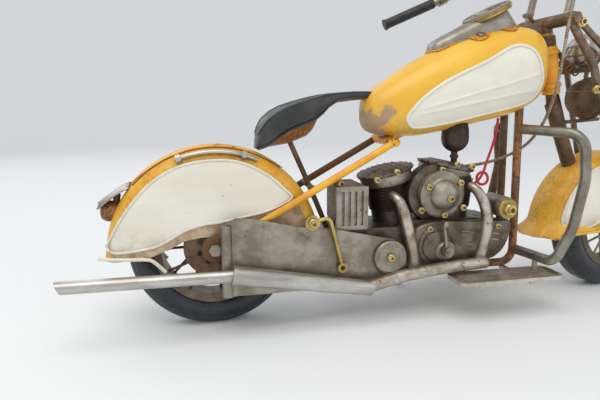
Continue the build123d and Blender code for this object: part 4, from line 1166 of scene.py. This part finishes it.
def saddle_surface(x, share):
    """A point across the saddle, share from -1 right to 1 left, over skirt, rolled edge and dished top."""
    top, edge, half = along(SADDLE_TOP, x), along(SADDLE_EDGE, x), along(SADDLE_HALF, x)
    reach = abs(share)
    if reach > SKIRT_SHARE:
        drop = (reach - SKIRT_SHARE) / (1 - SKIRT_SHARE)
        bulge = SKIRT_BULGE * math.sin(math.pi * drop)
        z = top - ROLL_DROP - (top - ROLL_DROP - edge) * drop
        return math.copysign(half - ROLL_INSET + bulge, share), z
    inward = reach / SKIRT_SHARE
    dish = min(1.0, half / WIDE_HALF) * DISH_DEPTH * (1 - inward**2)
    return math.copysign((half - ROLL_INSET) * inward, share), top - dish - ROLL_DROP * inward**14


def saddle_line(start, end, count, heights, inset, drop):
    """A line round the saddle, from its nose back along the right side and forward along the left."""
    side = [
        (x, along(SADDLE_HALF, x) - inset, along(heights, x) - drop) for x in np.linspace(start, end, count)
    ]
    return [place(x, -y, z) for x, y, z in reversed(side)] + [place(x, y, z) for x, y, z in side]


def add_saddle():
    """The padded cover with its hem and piping, and the painted pan under it."""
    rows, across, start, end = 60, 61, 30.7, 117
    points = []
    for i in range(rows):
        x = start + (end - start) * (i / (rows - 1)) ** 1.25
        for k in range(across):
            y, z = saddle_surface(x, -1 + 2 * k / (across - 1))
            points.append(place(x, y, z))
    faces = grid_faces(rows, across, wrap_columns=False)
    rim = len(points)
    base = along(SADDLE_EDGE, start)
    for share_down, back in ((0.5, 1.3), (1.0, 1.7)):
        for k in range(across):
            share = -1 + 2 * k / (across - 1)
            y, z = saddle_surface(start, share)
            points.append(place(start - back * (1 - share**2), y * 0.98, z - (z - base) * share_down))
    for k in range(across - 1):
        faces.append((k, k + 1, rim + k + 1, rim + k))
        faces.append((rim + k, rim + k + 1, rim + across + k + 1, rim + across + k))
    cover = build("saddle_cover", points, faces, LEATHER, "frame", False, 50.0, ("seat_cushion",))
    thicken(cover, 1.1, -1)
    hem = saddle_line(start, end, 40, SADDLE_EDGE, 0.0, 0.0)
    tube_piece("saddle_hem", hem, 0.65 * MM, LEATHER, sides=8)
    piping = saddle_line(start, end, 60, SADDLE_TOP, 0.5, 0.8)
    tube_piece("saddle_piping", piping, 0.6 * MM, LEATHER, sides=8)
    points = []
    pan_rows, pan_across, pan_start, pan_end = 40, 33, 32, 113
    for i in range(pan_rows):
        x = pan_start + (pan_end - pan_start) * i / (pan_rows - 1)
        edge_z, half = along(SADDLE_EDGE, x), along(SADDLE_HALF, x) - 1.2
        deep = edge_z + 0.6 - min(edge_z, along(PAN_BOTTOM, x))
        for k in range(pan_across):
            share = -1 + 2 * k / (pan_across - 1)
            points.append(place(x, half * share, edge_z + 0.6 - deep * (1 - abs(share) ** 3.2)))
    sheet_piece("saddle_pan", points, pan_across, look("saddle_pan"), 0.9, 1, replaced=("seat_pan",))


add_saddle()


# ---------------------------------------------------------------- turned shells

RIGHTWARD = (0, -1, 0)
lathe(
    "air_cleaner_shell",
    [
        (15.4, 14.4), (16.6, 14.8), (17.0, 16.2), (16.7, 17.2), (16.4, 17.6), (16.9, 18.6), (16.5, 19.7),
        (15.2, 20.5),
    ]
    + [(13.6, 21.0), (12.4, 21.3), (11.4, 21.9), (11.0, 22.5)] + arc_profile(0, 17.3, 12.0, 26, 88, 12),
    place(157.0, 0, 84.2), RIGHTWARD, STEEL, replaced=("air_cleaner",),
)
drum = [(18.0, 4.0)]
for step in range(8):
    drum += [
        (18.6, 4.6 + 1.3 * step), (20.4, 4.8 + 1.3 * step), (20.4, 5.3 + 1.3 * step),
        (18.6, 5.5 + 1.3 * step),
    ]
lathe(
    "carburettor_drum", drum + [(17.0, 15.2), (12.0, 15.4)], place(154.6, 0, 84.4), RIGHTWARD,
    CAST,
)


# ---------------------------------------------------------------- engine


def barrel_axis(lean):
    turn = math.radians(lean)
    return Vector((math.sin(turn), 0, math.cos(turn)))


def finned_barrel(name, x, z, lean, radius, length, fins, node, pitch=1.6):
    """A wide barrel: a plain foot with close fins above it."""
    profile = [(radius - 0.4, -3), (radius, -2.4), (radius, fins - 0.8), (radius - 0.8, fins)]
    level = fins
    while level < length - 1.5:
        for out, rise in ((-0.9, 0.2), (0.9, 0.45), (0.9, 0.95), (-0.9, 1.2)):
            profile.append((radius + out, level + rise))
        level += pitch
    profile += [(radius - 0.8, length), (radius - 2, length + 0.4)]
    lathe(
        name, profile, place(x, 0, z), barrel_axis(lean), look("cast_case", BARREL_IRON), replaced=(node,),
    )


def ragged_head(name, x, z, lean, start, radius, node, teeth=19):
    """The steel collar and, on it, a thin cap with a torn-looking scalloped rim and low ribs."""
    axis = barrel_axis(lean)
    origin = place(x, 0, z)
    lathe(
        f"{name}_collar",
        [
            (radius - 7, -1.0), (radius - 3.4, -0.6), (radius - 2.4, 0.6), (radius - 1.9, 3.2),
            (radius - 1.7, 6.6), (radius - 2.2, 7.4), (radius - 5, 7.8),
        ],
        origin + axis * start * MM, axis, STEEL,
    )
    first = axis.cross(Vector((0, 1, 0))).normalized()
    second = axis.cross(first)
    points, around = [], teeth * 8
    rings = [
        (0.90, 7.0, 0.0), (0.985, 7.2, 1.0), (1.0, 8.1, 1.0), (0.97, 9.0, 0.9), (0.86, 9.4, 0.2),
        (0.66, 10.6, 0.0), (0.4, 11.0, 0.0), (0.14, 11.1, 0.0),
    ]
    for share, rise, rag in rings:
        for k in range(around):
            angle = 2 * math.pi * k / around
            wave = 0.34 * math.sin(teeth * angle) + 0.3 * math.sin(7 * angle + 1.1) + 0.2 * math.sin(
                13 * angle + 0.4
            )
            reach = radius * share + rag * wave * 0.9
            crown = 0.35 * math.sin(teeth * angle + 0.8) * rag
            points.append(
                origin + axis * (start + rise + crown) * MM + spoke(first, second, angle) * reach * MM
            )
    faces = grid_faces(len(rings), around, capped=True)
    build(f"{name}_cap", points, faces, CAST, "frame", False, 40.0, (node,))
    rib_count, rib_gap = 5, 4.6
    for number in range(rib_count):
        offset = (number - rib_count // 2) * rib_gap
        half = math.sqrt((radius * 0.6) ** 2 - offset**2)
        base = origin + (axis * (start + 10.8) + first * offset) * MM
        line = [base + second * share * half * MM for share in (-1, -0.6, 0, 0.6, 1)]
        tube_piece(f"{name}_rib_{number}", line, 0.6 * MM, CAST, sides=8)


NUT_STEPS = 24


def brass_nuts(points, name, body="frame", node=None, outward=(0, -1, 0)):
    """Brass nuts, each a hexagon with a hollow screw end standing in it."""
    axis = Vector(outward).normalized()
    first, second = cross_axes(axis)
    verts, faces = [], []
    for x, y, z, size in points:
        base = place(x, y, z)
        rings = [
            (1.0, 0.0, 6), (1.0, 0.62, 6), (0.86, 0.74, 6), (0.60, 0.76, 0), (0.60, 1.12, 0),
            (0.40, 1.12, 0), (0.36, 0.42, 0), (0.02, 0.40, 0),
        ]
        offset = len(verts)
        for share, rise, sides in rings:
            for k in range(NUT_STEPS):
                angle = 2 * math.pi * k / NUT_STEPS + 0.35
                reach = share * size
                if sides:
                    reach *= math.cos(math.pi / 6) / math.cos((angle % (math.pi / 3)) - math.pi / 6)
                verts.append(base + axis * rise * size * MM + spoke(first, second, angle) * reach * MM)
        faces += [
            tuple(offset + i for i in face) for face in grid_faces(len(rings), NUT_STEPS, capped=True)
        ]
    return build(name, verts, faces, look("brass", BRASS_NUT), body, False, 30.0, (node,) if node else ())


def nut_brass():
    """Brass that stays bright on its faces, with painted shade, near black, in the screw's bore."""
    finish = Finish("nut_brass", metallic=0.85, roughness=0.34)
    stain = finish.span(finish.noise(260, 4, 0.6, seed=61), 0.35, 0.7)
    body = finish.blend(stain, (0.68, 0.56, 0.25), (0.46, 0.34, 0.12))
    # Painted shade: the AO node turns the screw's bore near black.
    hole_shade = finish.span(finish.crevice(1.3 * MM), 0.30, 0.66, 1.0, 0.0)
    finish.link(finish.blend(hole_shade, body, (0.03, 0.018, 0.01)), finish.shader.inputs["Base Color"])
    finish.set("Roughness", finish.span(stain, 0, 1, 0.28, 0.5))
    finish.bump(finish.noise(700, 4, 0.7, seed=63), 0.15, 0.15 * MM)
    return finish.material


BRASS_NUT = nut_brass()
REAR_LEAN, FRONT_LEAN, FRONT_CAP_LEAN = -13, 7, 12
finned_barrel("rear_barrel_finned", 128, 66, REAR_LEAN, 14.0, 28.0, 9.0, "rear_cylinder")
ragged_head("rear_cap", 129.2, 66, REAR_LEAN, 26.5, 20.2, "rear_head")
finned_barrel("front_barrel_finned", 165.2, 64, FRONT_LEAN, 18.6, 33.0, 11.0, "front_cylinder")
ragged_head("front_cap", 160.2, 66, FRONT_CAP_LEAN, 29.0, 20.4, "front_head", 17)
brass_nuts(
    [
        (
            145.6, -21.2, 90.2, 2.5,
        ), (169.0, -21.2, 92.4, 2.5), (157.8, -21.2, 70.2, 2.5), (140.6, -20.6, 74, 2.5),
        (172.2, -20.6, 74.6, 2.5), (158.0, -28.9, 83.0, 2.6), (109.8, -16.4, 95.6, 2.4), (
            123.4, -17.6, 100.6, 2.4,
        ),
        (156.8, -17.2, 101.2, 2.3), (168.0, -17.6, 104.6, 2.3), (180.4, -15.6, 102.4, 2.2),
        (CAP_MIDDLE[0], -27.2, CAP_MIDDLE[1], 2.9), (146, -24, 61.4, 2.2), (198, -24, 60.5, 2.2),
        (62.2, -29.4, 71.2, 3.4),
    ],
    "ring_nuts", node="brass_fasteners",
)
brass_nuts([(201.4, -30.8, 73.7, 4.6)], "generator_nut", node="generator")
brass_nuts([(87, -8, 91.2, 2.8)], "battery_nut", outward=(0, -1, 0.7))
brass_nuts([(251.8, -22.8, 200.3, 3.7), (272.2, -19.6, 155.4, 3.4)], "fork_nuts", body="fork")
lathe(
    "generator_drum",
    [
        (4.0, 5), (6.8, 5.4), (7.6, 7), (7.6, 25.4), (7.0, 26.6), (7.3, 27.4), (6.9, 28.6), (5.6, 29.4),
        (2.0, 29.6),
    ],
    place(202, 0, 74.2), RIGHTWARD, STEEL,
)
lathe(
    "generator_ring", [
        (5.0, 29.2), (6.7, 29.4), (7.1, 30.2), (6.7, 31.0), (5.0, 31.1),
    ], place(201.4, 0, 73.8), RIGHTWARD,
    BRASS,
)
lathe(
    "chain_cap_rim", [
        (9.4, 26.4), (11.0, 26.6), (11.6, 27.2), (11.0, 27.8), (9.8, 27.9), (9.0, 27.4), (3.4, 27.2),
        (1.0, 27.3),
    ],
    place(CAP_MIDDLE[0], 0, CAP_MIDDLE[1]), RIGHTWARD, STEEL,
)


def pipe_swell(share):
    """A downpipe's radius along it: thin at the barrel and fullest about two thirds of the way down."""
    thin, swell = 2.5, 1.5
    return (thin + swell * math.sin(math.pi * min(1.0, share * 1.25) / 1.6)) * MM


def add_downpipes():
    """Two bent pipes that swell in the middle and run down into the collector."""
    routes = {
        "rear": [
            (121, -9, 85), (123, -16, 83.6), (125.9, -21, 78.6), (128.3, -24, 68.9), (132.0, -24, 55.3),
            (134.6, -24, 43.7), (136.1, -24, 32.4),
        ],
        "front": [
            (173, -9, 89.5), (178.6, -14, 89.4), (183, -20, 85.8), (186.6, -24, 77.4), (189.6, -24, 66.7),
            (189.0, -24, 55.0), (186.9, -24, 45.5), (184.7, -24, 37.0),
        ],
    }
    for word, route in routes.items():
        line = [place(*corner) for corner in rounded_line(route, 8)]
        tube_piece(
            f"downpipe_{word}", line, pipe_swell, look("worn_steel", STAINED_STEEL), sides=20,
            replaced=("downpipes",) if word == "rear" else (),
        )


def add_fuel_bowl():
    """The dark bowl that hangs under the tank, with its neck and union."""
    bowl = [(8.2, -3.0), (9.2, 2.0), (9.5, 7.0)] + arc_profile(0, 8.2, 9.5, 5, 75, 10)
    bowl += [(2.3, 17.6), (2.2, 19.4), (3.0, 19.8), (3.0, 21.6), (2.2, 22.0), (2.2, 30.0)]
    lathe(
        "fuel_bowl_shell", bowl, place(170.5, -8, 130), (0, 0, -1), look("dark_metal", BARREL_IRON),
        replaced=("fuel_bowl",),
    )


def add_gear_cover():
    """The rounded cover over the timing gears, its stepped drum, the lever boss and pressed lines."""
    outline = [
        (134.6, 36), (134, 48), (
            135.6, 60.5,
        ), (146, 65.6), (160, 66.2), (178, 65.2), (200, 64.8), (209.4, 63),
        (208.6, 52), (204, 42.5), (197, 38.4), (178, 36.4), (152, 34.8),
    ]
    ring = rounded_line(outline, 7, closed=True)
    middle = sum(ring) / len(ring)
    points, levels = [], [
        (1.0, 17.0), (1.0, 21.6), (0.985, 23.0), (0.955, 23.8), (0.90, 24.1), (0.55, 24.2), (0.2, 24.2),
    ]
    for share, out in levels:
        for corner in ring:
            x, z = middle + (corner - middle) * share
            points.append(place(x, -out, z))
    faces = grid_faces(len(levels), len(ring))
    last = (len(levels) - 1) * len(ring)
    faces.append(tuple(range(last, last + len(ring))))
    build("timing_cover", points, faces, CAST, "frame", False, 40.0, ("gearcase_cover",))
    lathe(
        "timing_drum",
        [
            (13.4, 23.2), (13.6, 24.6), (13.0, 25.4), (12.0, 25.5), (11.6, 24.9), (10.6, 24.9),
            (10.2, 25.9), (9.2, 26.2), (4.0, 26.2), (1.0, 26.2),
        ],
        place(151.2, 0, 49.0), RIGHTWARD, CAST,
    )
    lathe(
        "gear_lever_boss",
        [
            (7.0, 24.0), (7.2, 25.6), (6.8, 26.4), (6.0, 26.7), (5.4, 27.5), (2.0, 27.6), (2.0, 30.9),
            (3.3, 31.0), (3.4, 32.0), (2.9, 32.4), (1.0, 32.2),
        ],
        place(157.6, 0, 45.5), RIGHTWARD, STEEL,
    )
    lines = [
        ((170, 58), (179, 56.6)), ((170, 48.6), (180, 47.8)), (
            (193, 55.4), (199.4, 54.4),
        ), ((193, 51), (199, 50.2)),
    ]
    for number, (start, end) in enumerate(lines):
        line = []
        for t in (0, 0.3, 0.6, 1):
            x, z = (a + (b - a) * t for a, b in zip(start, end))
            line.append(place(x, -24.2, z + 0.5 * math.sin(math.pi * t)))
        tube_piece(f"pressed_line_{number}", line, 0.75 * MM, STEEL, sides=8)


add_gear_cover()
add_downpipes()
add_fuel_bowl()

FORWARD = (1, 0, 0)
LAMP_SPOT, LAMP_RADIUS = (281, 0, 183.6), 13.0
HORN_SPOT, HORN_RADIUS = (286, 0, 149), 14.8
lathe(
    "headlight_shell",
    bowl_profile(LAMP_RADIUS) + [
        (13.0, 1.0), (13.9, 1.6), (14.2, 2.6), (13.6, 3.6), (12.6, 3.9), (12.2, 3.2),
    ],
    place(*LAMP_SPOT), FORWARD, look("worn_steel", SILVER), "fork", True, replaced=("headlight",),
)
tube_piece(
    "headlight_bracket", [
        place(286, 0, 172), place(284, 0, 166), place(287, 0, 160),
    ], 1.7 * MM, look("worn_steel", YOKE_STEEL), "fork", 12, steered=True,
)


def shell_seam(name, spot, radius, rise, wear):
    """The folded seam that runs level round the back of a lamp or horn bowl."""
    x, _, z = spot
    reach = math.sqrt(radius**2 - rise**2) + 0.1
    line = []
    for step in range(25):
        turn = math.radians(-90 + 7.5 * step)
        line.append(place(x - reach * math.cos(turn), reach * math.sin(turn), z + rise))
    tube_piece(name, line, 0.7 * MM, wear, "fork", 8, steered=True)


shell_seam("headlight_seam", LAMP_SPOT, LAMP_RADIUS, -3.5, look("worn_steel", BAR_STEEL))
coil, coil_steps, coil_turns = [], 120, 8
for step in range(coil_steps + 1):
    run = step / coil_steps
    turn = 2 * math.pi * coil_turns * run
    x, z = 247 + 25 * run + 0.8 * math.cos(turn), 179.4 - 12.6 * run + 1.5 * math.cos(turn)
    coil.append(place(x, 1.5 * math.sin(turn), z))
tube_piece("lamp_coil_spring", coil, 0.7 * MM, look("rusty_steel", LINE_BROWN), "fork", 6)
lathe(
    "horn_shell",
    bowl_profile(HORN_RADIUS) + [
        (14.9, 0.6), (16.0, 1.0), (16.2, 2.2), (15.2, 3.0), (14.4, 2.6), (9.0, 1.0), (3.0, 0.4), (0.6, 0.4),
    ],
    place(*HORN_SPOT), FORWARD, RUSTED, "fork", True,
)
shell_seam("horn_seam", HORN_SPOT, HORN_RADIUS, 5.0, look("rusty_steel", YOKE_STEEL))
lathe(
    "stem_collar", [(5.0, 19.6), (5.4, 20.2), (5.4, 24.4), (4.6, 25.2), (4.4, 25.6), (4.4, 31.0)],
    place(249, 0, 165), STEER_AXIS, BRASS, "fork",
)


# ---------------------------------------------------------------- console and dial


def tank_top(x, y, table):
    """How high the tank stands at a place seen from above."""
    half, low, high = tank_row(x, table)
    return (low + high) / 2 + (high - low) / 2 * (1 - (abs(y) / half) ** TANK_POWER) ** (1 / TANK_POWER)


def add_console_flange():
    """The thin painted flange the console is screwed down by, with two round lobes a side."""
    table, rows, across, start, end = tank_table(), 96, 25, 151.6, 218.4
    flange_thick, screw_x, screw_y = 0.9, 183.4, 13.4
    edge = [
        (151.5, 3), (153.4, 9.6), (158, 10.6), (168, 10.4), (200, 10.2), (214, 9.6), (217.5, 6), (218.5, 1),
    ]
    points = []
    for i in range(rows):
        x = start + (end - start) * i / (rows - 1)
        reach = along(edge, x)
        for lobe_x, lobe_y, size in ((183, 10.6, 7.2), (205.5, 9.4, 6.6)):
            if abs(x - lobe_x) < size:
                reach = max(reach, lobe_y + math.sqrt(size**2 - (x - lobe_x) ** 2))
        for k in range(across):
            y = reach * (-1 + 2 * k / (across - 1))
            points.append(place(x, y, tank_top(x, y, table) + 0.15))
    sheet_piece("console_flange", points, across, AGED_YELLOW, flange_thick, 1, bend=40.0)
    for side in (1, -1):
        spot = place(screw_x, side * screw_y, tank_top(screw_x, screw_y, table) + flange_thick)
        screw = [(3.0, 0), (2.9, 0.7), (2.2, 1.3), (0.4, 1.5)]
        lathe(f"console_screw_{side + 1}", screw, spot, (0, side * 0.45, 1), STEEL, segments=24)


CONSOLE_STATIONS = [
    (
        152.2, 4.5, 185.2,
    ), (153.6, 7.4, 187.4), (158, 9.2, 190.2), (168, 10.4, 195.2), (185, 12.2, 204), (199, 12.4, 210.8),
    (203, 12, 211.8), (206, 11.4, 209.6), (210, 10.2, 204.6), (214.4, 8.2, 199.4), (215.2, 6.5, 198.4),
]


def add_console():
    """The beaten sheet-metal housing that carries the dial on top of the tank."""
    table, around = tank_table(), 41
    stations = rounded_line(CONSOLE_STATIONS, 5)
    points = []
    for x, half, top in stations:
        foot = tank_top(x, half, table) - 1
        for k in range(around):
            turn = math.pi * k / (around - 1)
            c, s = math.cos(turn), math.sin(turn)
            y = half * math.copysign(abs(c) ** 0.55, c)
            points.append(place(x, y, foot + max(0.4, top - foot) * s**0.6))
    faces = grid_faces(len(stations), around, wrap_columns=False, capped=True)
    build(
        "console_shell", points, faces, look("worn_steel", BOARD_STEEL), "frame", False, 35.0,
        ("dash_console",),
    )


DIAL_MIDDLE, DIAL_TILT = (193.5, 0, 209.6), math.radians(25.8)
TICK_COUNT, FIRST_TICK, TICK_STEP = 11, -150, 30
NEEDLE_TURN = 0.7


def add_dial():
    """Brass and steel rings stacked round the dial, its face, ticks and needle."""
    axis = Vector((-math.sin(DIAL_TILT), 0, math.cos(DIAL_TILT)))
    origin = place(*DIAL_MIDDLE)
    lathe(
        "dial_rings",
        [
            (14.4, -4.6), (16.5, -4.4), (17.2, -3.7), (16.6, -3.0), (16.6, -2.6), (17.4, -2.0),
            (17.3, -1.5), (16.4, -1.2),
        ],
        origin, axis, BRASS, bend=25.0,
    )
    lathe(
        "dial_bezel", [(16.2, -1.6), (16.8, -1.2), (16.6, -0.4), (15.6, 0.3), (14.4, 0.2), (13.9, -0.9)],
        origin, axis, STEEL, bend=25.0, replaced=("speedometer",),
    )
    lathe(
        "dial_face", [(14.2, -1.6), (14.1, -0.8), (0.4, -0.8)], origin, axis,
        look("worn_steel", MATERIALS["cast_case"]),
    )
    first = Vector((0, 1, 0))
    second = axis.cross(first)
    for number in range(TICK_COUNT):
        turn = math.radians(FIRST_TICK + TICK_STEP * number)
        outward = spoke(second, first, turn)
        ends = [origin + axis * -0.7 * MM + outward * reach * MM for reach in (10.6, 12.8)]
        tube_piece(f"dial_tick_{number}", ends, 0.3 * MM, CREAM, sides=6)
    needle = spoke(second, first, NEEDLE_TURN)
    ends = [origin + axis * -0.5 * MM + needle * reach * MM for reach in (-2.5, 10.2)]
    tube_piece("dial_needle", ends, 0.4 * MM, CREAM, sides=6)


add_console_flange()
add_console()
add_dial()

# ---------------------------------------------------------------- wheels

disc = [(3.4, 12.2), (19.4, 12.2), (20.0, 12.7), (19.4, 13.3), (12.0, 13.7), (3.4, 13.9)]
AXLE_HEIGHT, HOLE_RING = 55, 10.4
lathe("rear_drum_plate", disc, place(0, 0, AXLE_HEIGHT), RIGHTWARD, RUSTED, "rear_wheel", bend=25.0)
# Each hole is a small disc of dark metal on the plate's face: painted shade where the open hole is.
hole_shade = [(1.7, 13.4), (1.7, 14.0), (1.3, 14.05), (0.3, 13.95)]
HOLE_SHADE_LOOK = look("rusty_steel", MATERIALS["dark_metal"])
for number in range(8):
    turn = math.radians(20 + 45 * number)
    spot = place(HOLE_RING * math.cos(turn), 0, AXLE_HEIGHT + HOLE_RING * math.sin(turn))
    lathe(f"drum_hole_{number}", hole_shade, spot, RIGHTWARD, HOLE_SHADE_LOOK, "rear_wheel", segments=20)
